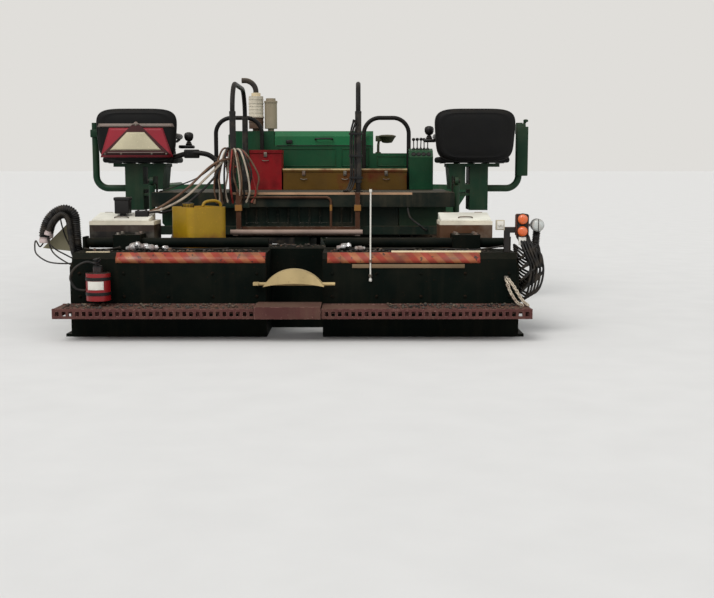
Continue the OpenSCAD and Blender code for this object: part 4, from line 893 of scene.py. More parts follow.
class PAVER_OT_bolts(bpy.types.Operator):
    """Hexagon bolts on washers along the panels, bearings, gates and wheel hubs"""
    bl_idname = "paver.bolts"
    bl_label = "Bolts"

    def execute(self, context):
        turn = np.linspace(0, FULL, 8, endpoint=False)
        for side, sign in SIDES:
            body, rear = f"ext_{side[0]}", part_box(f"ext_box_{side}")[0].y
            add_bolts(f"box_bolts_{side}", body, (0, -1, 0), [
                (x, rear, z) for x in np.linspace(sign * 0.27, sign * 1.53, 5)
                # Bolts on the rear faces take the near-black finish with its painted shade
                for z in (0.29, 0.455)], "panel_green", 0.6)
            add_bolts(f"gate_bolts_{side}", body, (sign, 0, 0), [
                (sign * 1.6, y, z) for y in np.linspace(-2.66, -2.0, 6) for z in (0.12, 0.48)])
            add_bolts(f"bearing_bolts_{side}", "screed", (0, 0, 1), [
                (sign * (1.2525 + x), -2.375 + y, 0.711) for x in (-0.07, 0.07)
                for y in (-0.075, 0.075)])
            hubs = [(sign * x, y + r * math.cos(a), 0.32 + r * math.sin(a))
                    for x, y, r in ((1.06, -1.05, 0.14), (1.105, 0.93, 0.11)) for a in turn]
            add_bolts(f"track_hub_bolts_{side}", "tractor", (sign, 0, 0),
                      hubs + [(sign * 1.13, y, 0.38) for y in np.linspace(-0.88, 0.75, 9)])
        return {"FINISHED"}


class PAVER_OT_tapes(bpy.types.Operator):
    """Hazard tape over the rear top edge of both extension boxes"""
    bl_idname = "paver.tapes"
    bl_label = "Hazard tapes"

    def execute(self, context):
        for (side, sign), reach in zip(SIDES, TAPE_REACH):
            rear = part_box(f"ext_box_{side}")[0].y
            foot = BOX_TOP - BOX_CUT
            y, z = np.array([[rear - 0.0012, foot - sizes().tape], [rear - 0.0015, foot - 0.001],
                             [rear + BOX_CUT - 0.0005, BOX_TOP + 0.001],
                             [rear + BOX_CUT + 0.01, BOX_TOP + 0.0013]]).T
            x = np.linspace(*reach, 60)[:, None] * sign
            ripple = np.abs(0.0006 * np.sin(x * 43) + 0.0004 * np.sin(x * 97))
            sheet = np.stack(np.broadcast_arrays(x, y - ripple, z), -1).reshape(-1, 3)
            thicken(put(f"hazard_tape_{side}", (sheet, [quads(60, 4)[:, ::sign]]), "hazard_tape",
                        f"ext_{side[0]}", 60, closed=False), 0.0008)
        return {"FINISHED"}


def band(path, wide, thick):
    """Flat strip along a level path: a rectangle carried along it, wide across and thick up."""
    path = np.asarray(path, float)
    along = np.gradient(path, axis=0)
    along /= np.linalg.norm(along, axis=1, keepdims=True)
    side = np.cross(along, (0.0, 0.0, 1.0))
    side /= np.linalg.norm(side, axis=1, keepdims=True)
    across, rise = np.array([[-1, 1, 1, -1], [-1, -1, 1, 1]]) * 0.5
    ring = (side[:, None] * (across * wide)[:, None]
            + np.cross(side, along)[:, None] * (rise * thick)[:, None])
    last = 4 * len(path)
    ends = np.array([[3, 2, 1, 0], [last - 4, last - 3, last - 2, last - 1]])
    return (path[:, None] + ring).reshape(-1, 3), [quads(len(path), 4, closed=True), ends]


def hoop(middle, radius, count, deep=None, start=0.0, end=FULL):
    """Path round an upright axis: a circle, or an ellipse where its depth along Y is given."""
    turn = np.linspace(start, end, count)
    return np.stack([radius * np.cos(turn), (deep or radius) * np.sin(turn), 0 * turn], -1) + middle


def shield(profile, middle, half, tall):
    """Closed shell about an upright outline in the X-Z plane, a square with full corners that is
    narrower at its foot. Each row of the profile is a share of the outline and a place along Y;
    the first and last rows are closed by a point at the middle."""
    angle = np.linspace(0, FULL, BACK_COUNT, endpoint=False)
    c, s = np.cos(angle), np.sin(angle)
    v = np.sign(s) * np.abs(s) ** BACK_FULL
    u = np.sign(c) * np.abs(c) ** BACK_FULL * (1 + BACK_TAPER * v) / (1 + BACK_TAPER)
    share, y = np.asarray(profile, float).T
    grid = np.stack([middle[0] + np.outer(share, u * half), np.repeat(y[:, None], BACK_COUNT, 1),
                     middle[1] + np.outer(share, v * tall)], -1)
    poles = [[middle[0], y[0], middle[1]], [middle[0], y[-1], middle[1]]]
    return (np.vstack([grid.reshape(-1, 3), poles]),
            [group[:, ::-1] for group in rings(len(profile), BACK_COUNT)])


def back_outline(side):
    """Middle, half width and half height of a seat back's outline."""
    low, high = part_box(f"seat_shell_{side}")
    return (((low.x + high.x) / 2, (BACK_FOOT + high.z) / 2), (high.x - low.x) / 2 - 0.001,
            (high.z - BACK_FOOT) / 2)


def on_back(x, z, lift):
    """Points lying lift behind the left seat back's crowned rear face."""
    middle, half, tall = back_outline("left")
    power = 2 / BACK_FULL
    share = (np.abs((x - middle[0]) / half) ** power
             + np.abs((z - middle[1]) / tall) ** power) ** (1 / power)
    shares, depths = np.array([(0, BACK_PROFILE[0][1]), *BACK_PROFILE[:7]]).T
    y = np.interp(share, shares, np.minimum.accumulate(depths[::-1])[::-1])
    return np.stack([x, y - lift, z], -1)


def mirrored(shape, sign):
    """The shapes as one for the right side, or their mirror image for the left side."""
    points, faces = merged(shape)
    return points * (sign, 1, 1), [group[:, ::sign] for group in faces]


def swollen(low, high):
    """Padded block. It is cut into even cells, blown up by cloth pressure with gravity off, and no
    point is let further than PAD_CAP from where it started."""
    scene = bpy.context.scene
    points, faces = slab(low, high, PAD_CAP)
    mesh = bpy.data.meshes.new("start")
    mesh.from_pydata(points.tolist(), [], faces[0].tolist())
    start = bpy.data.objects.new("start", mesh)
    scene.collection.objects.link(start)
    cells = start.modifiers.new("cells", "REMESH")
    cells.mode = "VOXEL"
    cells.voxel_size = PAD_CELL
    graph = bpy.context.evaluated_depsgraph_get()
    body = bpy.data.objects.new("body", bpy.data.meshes.new_from_object(start.evaluated_get(graph)))
    scene.collection.objects.link(body)
    bpy.data.objects.remove(start)
    rest = np.empty(len(body.data.vertices) * 3)
    body.data.vertices.foreach_get("co", rest)
    blown = rest.copy()
    cloth = body.modifiers.new("cloth", "CLOTH")
    cloth.settings.use_pressure = True
    cloth.settings.uniform_pressure_force = 4
    cloth.settings.effector_weights.gravity = 0
    for number in range(1, PAD_FRAMES + 1):
        scene.frame_set(number)
    graph = bpy.context.evaluated_depsgraph_get()
    moved = body.evaluated_get(graph)
    moved.to_mesh().vertices.foreach_get("co", blown)
    scene.frame_set(1)
    rest, step = rest.reshape(-1, 3), (blown - rest).reshape(-1, 3)
    far = np.linalg.norm(step, axis=1, keepdims=True)
    corners = np.empty(len(body.data.loops), int)
    body.data.loops.foreach_get("vertex_index", corners)
    bpy.data.objects.remove(body)
    return rest + step * np.minimum(1, PAD_CAP / np.maximum(far, 1e-9)), [corners.reshape(-1, 4)]


def welt(points, level, axes):
    """Piping round a padded form: the farthest point in each of WELT_COUNT directions near one
    level across the other axis, smoothed, with a tube laid along it."""
    third = 3 - sum(axes)
    near = points[np.abs(points[:, third] - level) < 0.012]
    middle = near.mean(0)
    flat = near[:, axes] - middle[list(axes)]
    turn = np.arctan2(flat[:, 1], flat[:, 0])
    sector = ((turn + math.pi) / FULL * WELT_COUNT).astype(int) % WELT_COUNT
    reach = np.zeros(WELT_COUNT)
    np.maximum.at(reach, sector, np.linalg.norm(flat, axis=1))
    angle = (np.arange(WELT_COUNT) + 0.5) / WELT_COUNT * FULL - math.pi
    loop = np.full((WELT_COUNT, 3), float(level))
    loop[:, axes[0]] = middle[axes[0]] + reach * np.cos(angle)
    loop[:, axes[1]] = middle[axes[1]] + reach * np.sin(angle)
    loop = (np.roll(loop, 1, 0) + 2 * loop + np.roll(loop, -1, 0)) / 4
    return tube(np.vstack([loop, loop[:2]]), 0.005, 8)


class PAVER_OT_seats(bpy.types.Operator):
    """Two seats: crowned shells with arm rests and piping, padded cushions and control knobs"""
    bl_idname = "paver.seats"
    bl_label = "Seats"

    def execute(self, context):
        low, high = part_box("seat_shell_right")
        pad_low, pad_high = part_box("seat_pads_right")
        left, right = low.x + 0.045, high.x - 0.045
        middle, half, tall = back_outline("right")
        shell = [shield(BACK_PROFILE, middle, half, tall),
                 slab((left, -0.928, 1.246), (right, -0.38, 1.299), 0.02),
                 slab((low.x + 0.16, -0.97, 1.262), (high.x - 0.16, -0.92, 1.4), 0.012),
                 *[slab((x - 0.009, -0.90, 1.2405), (x + 0.009, -0.42, 1.25), 0.003)
                   for x in np.linspace(low.x + 0.1, high.x - 0.1, 5)],
                 *[band([(x, -0.94, 1.42), (x, -0.75, 1.43), (x, -0.6, 1.455)], 0.025, 0.01)
                   for x in (left, right)]]
        arms = [slab((x - 0.03, -0.95, 1.455), (x + 0.03, -0.555, 1.505), 0.022)
                for x in (left, right)]
        outline = shield([(1, -0.9475)] * 2, middle, half + 0.001, tall + 0.001)[0][:BACK_COUNT]
        pad_left, pad_right = pad_low.x + 0.02, pad_high.x - 0.02
        pillow = swollen((pad_left, -0.806, PAD_FLOOR), (pad_right, -0.402, 1.374))
        pillow[0][:, 2] = np.maximum(pillow[0][:, 2], PAD_FLOOR)
        rest = swollen((pad_left, -0.929, 1.318), (pad_right, -0.862, 1.628))
        rest[0][:, 1] = np.maximum(rest[0][:, 1], PAD_BACK)
        piping = [tube(np.vstack([outline, outline[:2]]), 0.006, 8),
                  welt(pillow[0], 1.368, (0, 1)), welt(rest[0], -0.868, (0, 2))]
        for side, sign in SIDES:
            body = f"seat_{side[0]}"
            form = put(f"seat_shell_form_{side}", mirrored(shell, sign), "shell_black", body)
            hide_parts(f"seat_shell_{side}")
            put(f"seat_arm_pads_{side}", mirrored(arms, sign), "pad_vinyl", body)
            put(f"seat_piping_{side}", mirrored(piping, sign), "knob_black", body)
            pads = put(f"seat_cushions_{side}", mirrored([pillow, rest], sign), "pad_vinyl", body, 80)
            smooth = pads.modifiers.new("smooth", "SUBSURF")
            smooth.levels = smooth.render_levels = 1
            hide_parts(f"seat_pads_{side}")
            stem, top = (low.x - 0.02, 1.505) if sign > 0 else (left - 0.09, 1.45)
            stick = [turned(20, [(stem, -0.62, top)], None, 16, -12, 32, 0, 41, 20, 42, 45, 34, 62,
                            14, 70),
                     turned(16, [(stem, -0.62, top)], None, 36, -50, 26, -42, 32, -36, 20, -26, 24, -20,
                            12, -12, 12, -5),
                     slab((stem - 0.045, -0.68, top - 0.075), (low.x + 0.04, -0.56, top - 0.047), 0.008)]
            put(f"seat_joystick_{side}", mirrored(stick, sign), "knob_black", body, 50)
        return {"FINISHED"}


class PAVER_OT_sign(bpy.types.Operator):
    """Worn warning triangle on the left seat's back: a red field, a red border and a blank face"""
    bl_idname = "paver.sign"
    bl_label = "Warning triangle"

    def execute(self, context):
        s = np.linspace(0, 1, 26)[None]
        for name, finish, lift, rows, foot, top, ends in SIGN_SHEETS:
            t = np.linspace(0, 1, rows)[:, None]
            x0, x1 = ends[0] + (ends[2] - ends[0]) * t, ends[1] + (ends[3] - ends[1]) * t
            points = on_back(x0 + (x1 - x0) * s, foot + (top - foot) * t + 0 * s, lift)
            sheet = (points.reshape(-1, 3), [quads(rows, 26)[:, ::-1]])
            thicken(put(name, sheet, finish, "seat_l", 60, closed=False), 0.0016)
        rivets = on_back(np.array([-1.74, -1.21, -1.466, -1.60, -1.335]),
                         np.array([1.322, 1.322, 1.568, 1.322, 1.322]), 0.007)
        put("sign_rivets", turned(12, rivets, (0, -1, 0), 9, -2, 8, 2, 4, 5), "bolt_steel", "seat_l")
        return {"FINISHED"}


def strands(name, finish, body, routes, radius):
    """Hoses along given routes: smooth tubes, each a little thicker at its crimped ends."""
    thick = np.full(40, radius)
    thick[:2] = thick[-2:] = radius * CRIMP
    put(name, [tube(curve(route, 40), thick, 9) for route in routes], finish, body, 60)


def corrugated(route, radius, ridge, pitch, count=220):
    """Ribbed conduit along a route: its radius swells and shrinks in a sine with each pitch."""
    path = curve(route, count)
    run = np.concatenate([[0], np.cumsum(np.linalg.norm(np.diff(path, axis=0), axis=1))])
    return tube(path, radius + ridge * np.sin(run / pitch * FULL), 14)


class PAVER_OT_hoses(bpy.types.Operator):
    """Hydraulic hoses and cables at both ends of the deck and of the screed"""
    bl_idname = "paver.hoses"
    bl_label = "Hoses and cables"

    def execute(self, context):
        hose, cable = sizes().hose / 2, sizes().cable / 2
        pick = np.random.default_rng(7)
        groups = {f"hose_{cover}": [] for cover in ("pale", "black", "brown", "red")}
        for k in range(15):
            share = k / 14
            shift = pick.uniform(-0.02, 0.02, 4)
            x = -0.72 + 0.34 * share
            depth = -1.515 - 0.05 * pick.random()
            groups["hose_" + BUNDLE_COVERS[k % 7]].append([
                (-0.585 + 0.03 * (share - 0.5), -1.462, 1.20 + 0.02 * shift[0]),
                (-0.583 + 0.05 * (share - 0.5), -1.478, 1.335 + shift[0]),
                (-0.58 + 0.55 * (x + 0.58), depth, 1.33 + shift[1]),
                (x + shift[2], depth - 0.01, 1.16 + 2 * shift[1]),
                (x * 0.98 - 0.01 + shift[3], depth, 1.02 + shift[2]),
                (x * 0.9 - 0.06, -1.503, 0.90 + abs(shift[3]))])
        for finish, routes in groups.items():
            strands(f"bundle_{finish}", finish, "tractor", routes, hose * 0.72)
        put("bundle_ties", [tube(hoop((-0.582, -1.468, z), 0.05, 28, 0.042, end=1.02 * FULL), 0.009, 8)
                            for z in (1.30, 1.318, 1.337, 1.21)], "hose_red", "tractor")
        put("bundle_plate", slab((-0.70, -1.512, 0.872), (-0.44, -1.5, 0.93), 0.003), "frame_green",
            "tractor")
        for name, finish, start, side in (("feed_hose_a", "hose_pale", -0.60, 0.0),
                                          ("feed_hose_b", "hose_brown", -0.56, 0.055),
                                          ("feed_hose_c", "hose_black", -0.62, -0.06)):
            route = [(start, -1.478, 1.16), (start - 0.02, -1.53, 1.27), (-0.72, -1.66, 1.17 + side),
                     (-0.90, -1.88, 0.98 + side), (-1.05, -2.02, 0.89 + side / 2),
                     (-1.13 - side / 2, -2.085, 0.864), (-1.19 - side / 2, -2.11, 0.857)]
            piece = put(name, tube(curve(route, 90), hose * 0.85, 12), finish, None, 60)
            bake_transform(piece)
        put("feed_block", [slab((-1.255, -2.155, 0.826), (-1.155, -2.09, 0.875), 0.005),
                           copies(hexagon(0.014), [(x, -2.12, 0.875) for x in (-1.235, -1.175)])],
            "knob_black", "screed", 40)
        posts = [(x, y, 0) for x in (-0.58, 0.455) for y in (-1.44, -0.44)]
        put("rail_sleeves", turned(20, posts, None, 19.5, 1075, 26.5, 1078, 27.5, 1090, 26.5, 1100,
                                   26.5, 1350, 26.2, 1640, 27.5, 1650, 26.5, 1663, 19.5, 1666),
            "hose_black", "tractor", 40)
        put("post_straps", [band(hoop((0.435, -1.446, z), 0.056, 30, 0.036), 0.002, 0.018)
                            for z in (1.12, 1.3, 1.48)], "knob_black", "tractor", 40)
        for name, route, radius, pitch in (("conduit_left", ARCH, 0.034, 0.014),
                                           ("conduit_left_inner", INNER_ARCH, 0.022, 0.011),
                                           ("conduit_left_outer", OUTER_ARCH, 0.019, 0.010)):
            put(name, corrugated(route, radius, 0.12 * radius, pitch), "hose_black", "ext_l", 80)
        put("conduit_glands", [
            turned(20, [place], (lean, 0, 1), *share * np.array(
                [20, -30, 36, -28, 38, 0, 33, 4, 36, 8, 30, 20, 12, 24]))
            for share, place, lean in ((1.0, (-1.895, -2.36, 0.672), 0.0),
                                       (0.7, (-1.863, -2.317, 0.70), 0.3),
                                       (0.65, (-1.855, -2.402, 0.722), 0.3))],
            "gland_grey", "ext_l", 60)
        put("conduit_flanges", turned(20, [(-1.598, -2.36, 0.495), (-1.598, -2.42, 0.452),
                                           (-1.598, -2.30, 0.497)], (-1, 0, 0),
                                      46, 0, 46, 12, 38, 30, 34, 30), "knob_black", "ext_l")
        put("conduit_right", corrugated([(1.602, -2.55, 0.34), (1.68, -2.58, 0.37), (1.735, -2.63, 0.5),
                                         (1.73, -2.665, 0.64), (1.735, -2.68, 0.755)],
                                        0.026, 0.0035, 0.012, 140), "hose_black", "ext_r", 80)
        drops = []
        for k in range(24):
            low, x, deep = 0.24 + 0.0155 * k, 1.635 + 0.022 * (k % 5), -2.735 - 0.008 * (k % 6)
            drops.append([(1.592 + 0.0033 * k, -2.70, 0.718), (x, deep, 0.62), (x + 0.05, deep, 0.50),
                          (x + 0.03, deep, low + 0.06), (x - 0.03, deep + 0.03, low),
                          (1.603, -2.68 + 0.0085 * k, low + 0.04)])
        for name, body, radius, routes in (
                ("post_cables", "tractor", hose * 0.72, [
                    [(0.455 - lie, -1.462 - 0.3 * lie, 1.56 + lie), (0.43 - lie, -1.462, 1.50),
                     (0.424 - lie, -1.46, 1.35), (0.428 - lie, -1.462, 1.2),
                     (0.424 - lie, -1.462, 1.10), (0.40 - lie, -1.475, 1.03),
                     (0.37 - lie, -1.5, 1.008)] for lie in (0.0, 0.018, 0.034)]),
                ("seat_cable", "tractor", cable, [
                    [(-0.60, -1.46, 1.33), (-0.70, -1.35, 1.26), (-0.9, -1.25, 1.12),
                     (-1.1, -1.3, 1.04), (-1.2, -1.4, 1.004)]]),
                ("cables_left", "ext_l", cable, CABLES_LEFT),
                ("control_hoses", "ext_r", hose * 0.72, drops),
                ("drive_hoses", "tractor", hose * 0.8, [
                    [(sign * x, y, z) for x, y, z in (
                        (0.86, -1.462, 0.90), (0.88, -1.56, 0.80), (0.95, -1.66, 0.74),
                        (1.0, -1.60, 0.70), (1.02, -1.462, 0.69))] for sign in (-1, 1)]),
                ("deck_hoses_right", "ext_r", hose * 0.55, [
                    [(0.62 + 0.05 * k, -2.62 + 0.02 * k, 0.612) for k in range(6)],
                    [(0.30, -2.55, 0.612), (0.42, -2.62, 0.613), (0.55, -2.56, 0.612),
                     (0.62, -2.50, 0.612)],
                    [(1.0, -2.64, 0.612), (1.12, -2.56, 0.613), (1.3, -2.62, 0.612),
                     (1.5, -2.65, 0.64)]]),
                ("deck_hoses_left", "ext_l", hose * 0.6, [
                    [(-0.98, -2.60, 0.625), (-0.84, -2.55, 0.613), (-0.66, -2.60, 0.612),
                     (-0.5, -2.52, 0.612)],
                    [(-1.27, -2.62, 0.63), (-1.36, -2.57, 0.613), (-1.47, -2.6, 0.612),
                     (-1.56, -2.5, 0.612)]])):
            strands(name, "hose_black", body, routes, radius)
        return {"FINISHED"}


def coupler(place, way, big):
    """Quick coupler along way: a turned body with a knurled collar, and a six-sided nut."""
    body = lathe(in_metres(8, -45, 13, -43, 13, -20, 19, -18, 20, -14, 18, -12, 20, -9, 18, -6, 20, -3,
                       18, 0, 20, 3, 12, 10, 12, 30, 8, 34), 18)
    points, faces = merged([body, lathe(in_metres(19, 12, 20, 14, 20, 26, 19, 28), 6)])
    return copies((points * big, faces), [place], facing(way))


def chain(route, count):
    """Chain along a route: oval links of round wire, each turned a quarter from the last."""
    turn = np.linspace(0, FULL, 15)
    oval = np.stack([0.55 * np.cos(turn), 0 * turn, 0.95 * np.sin(turn)], -1)
    link = tube(LINK * oval, WIRE, 6)
    path = curve(route, count + 1)
    quarter = np.array([[0.0, -1, 0], [1, 0, 0], [0, 0, 1]])
    ways = [facing(along) @ (quarter if k % 2 else np.eye(3))
            for k, along in enumerate(np.diff(path, axis=0))]
    return copies(link, (path[:-1] + path[1:]) / 2, ways)


class PAVER_OT_rear_gear(bpy.types.Operator):
    """Small fittings of the screed: lamps, couplers, rod, rub strips, chain and bottle valve"""
    bl_idname = "paver.rear_gear"
    bl_label = "Rear fittings"

    def execute(self, context):
        rear = (0, -1, 0)
        spots = [(1.625, LAMP_FACE, z) for z in (0.838, 0.752)]
        put("lamp_lenses", turned(24, spots, rear, 36, -4, 36, 12, 31, 22, 18, 28, 6, 30),
            "lens_amber", "ext_r", 50)
        put("lamp_glass", turned(24, [(1.735, LAMP_FACE, 0.795)], rear, 44, -1, 43, 8, 30, 18, 10, 23),
            "lens_clear", "ext_r", 50)
        put("lamp_rims", [
            turned(24, spots, rear, 42, -3, 42, 8, 37, 11, 37, 0),
            tube([(1.735, LAMP_FACE - 0.02, 0.751), (1.735, LAMP_FACE - 0.024, 0.795),
                  (1.735, LAMP_FACE - 0.02, 0.839)], 0.0025, 6),
            copies(hexagon(0.007), [(1.625 + x, LAMP_FACE, 0.795 + z) for x in (-0.037, 0.037)
                                    for z in (-0.07, 0.0, 0.07)], facing(rear))],
            "knob_black", "ext_r", 40)
        put("junction_cover", [
            slab((1.446, -2.716, 0.766), (1.494, -2.708, 0.824), 0.003),
            turned(12, [(1.46, -2.716, 0.795), (1.48, -2.716, 0.795)], rear, 8, 0, 8, 12, 5, 16)],
            "label_white", "ext_r")
        for side, group in (("l", [((-1.165, -2.63, 0.636), (1, -0.35, 0.35), 1.5),
                                   ((-1.10, -2.60, 0.63), (-1, -0.5, 0), 1.4),
                                   ((-1.03, -2.64, 0.626), (1, 0.3, 0), 1.2),
                                   ((-0.95, -2.60, 0.622), (0.6, -1, 0.1), 1.0)]),
                            ("r", [((0.36, -2.60, 0.632), (1, -0.3, 0.2), 1.4),
                                   ((0.46, -2.64, 0.622), (-1, -0.4, 0), 1.0)])):
            put(f"couplers_{side}", [coupler(*row) for row in group], "chrome", f"ext_{side}", 40)
        put("rod_right", [
            tube([(0.54, -2.802, 0.41), (0.54, -2.802, 0.7), (0.541, -2.803, 1.04)], 0.0055, 10),
            turned(12, [(0.54, -2.802, 0.40), (0.541, -2.803, 1.03)], None, 9, 0, 11, 10, 9, 22)],
            "label_white", "ext_r")
        clips = []
        for z in (0.44, 0.545):
            clips += [band(hoop((0.54, -2.802, z), 0.0085, 20), 0.003, 0.02),
                      slab((0.528, -2.7965, z - 0.01), (0.552, -2.7845, z + 0.01), 0.002)]
        put("rod_clips", clips, "bolt_steel", "ext_r")
        put("rear_chain", [
            chain([(1.505, -2.803, 0.415), (1.53, -2.84, 0.33), (1.57, -2.90, 0.262),
                   (1.60, -2.96, 0.247)], 16),
            chain([(1.512, -2.803, 0.425), (1.56, -2.835, 0.36), (1.61, -2.88, 0.275),
                   (1.64, -2.94, 0.247)], 17)], "pale_chain", "ext_r", 60)
        put("bottle_valve", [
            turned(16, [(*BOTTLE, 0)], None, 30, 505, 34, 508, 34, 520, 18, 524, 18, 545, 24, 548,
                   24, 562, 8, 566),
            slab((-1.39, -2.965, 0.562), (-1.36, -2.85, 0.572), 0.003),
            slab((-1.388, -2.97, 0.538), (-1.362, -2.86, 0.548), 0.003)], "knob_black", "ext_l", 40)
        strands("bottle_hose", "hose_black", "ext_l", [
            [(-1.392, -2.88, 0.535), (-1.46, -2.89, 0.545), (-1.535, -2.90, 0.50), (-1.565, -2.90, 0.43),
             (-1.53, -2.895, 0.36), (-1.475, -2.885, 0.345), (-1.462, -2.88, 0.345)]], 0.0085)
        put("bottle_straps", [
            *[band(hoop((*BOTTLE, z), 0.0875, 44), 0.0035, 0.022) for z in (0.325, 0.43)],
            *[slab((-1.395, -2.80, z - 0.011), (-1.355, -2.788, z + 0.011), 0.002)
              for z in (0.325, 0.43)]], "knob_black", "ext_l", 40)
        put("bottle_label", band(hoop((*BOTTLE, 0.385), 0.0862, 18, start=-2.3, end=-0.9), 0.0008,
                                 0.06), "label_white", "ext_l", 40)
        for (side, _), (x0, x1) in zip(SIDES, COVER_REACH):
            points, faces = slab((x0, -2.252, 0.7995), (x1, -1.98, 0.81), 0.004)
            points[:, 2] += (points[:, 2] > 0.805) * (0.004 + 0.042 * (points[:, 1] + 2.252) / 0.27)
            put(f"deck_cover_{side}", (points, faces), "cover_white", "screed", 30)
            grip = [(0.5 * (x0 + x1) + x, y, z) for x, y, z in (
                (-0.05, -2.2, 0.812), (-0.045, -2.21, 0.83), (0.045, -2.21, 0.83), (0.05, -2.2, 0.812))]
            put(f"deck_cover_fittings_{side}", [
                *[tube([(x - 0.03, -1.984, 0.852), (x, -1.984, 0.852), (x + 0.03, -1.984, 0.852)],
                       0.007, 10) for x in (x0 + 0.07, x1 - 0.07)],
                tube(curve(grip, 20), 0.005, 8)], "bolt_steel", "screed", 40)
        front = np.array([(-1.93, -2.288, 0.60), (-1.66, -2.288, 0.57), (-1.66, -2.288, 0.80),
                          (-1.72, -2.288, 0.80)])
        put("side_deflector", [
            (np.vstack([front, front + (0, 0.006, 0)]),
             [quads(2, 4, closed=True), np.array([[0, 1, 2, 3], [7, 6, 5, 4]])]),
            slab((-1.70, -2.30, 0.572), (-1.598, -2.286, 0.597), 0.003),
            slab((-1.61, -2.31, 0.50), (-1.598, -2.27, 0.597), 0.003)], "plate_grey", "ext_l", 30)
        for name, finish, body, smooth, rows in BLOCK_FITTINGS:
            put(name, [slab(*row) for row in rows], finish, body, smooth)
        return {"FINISHED"}


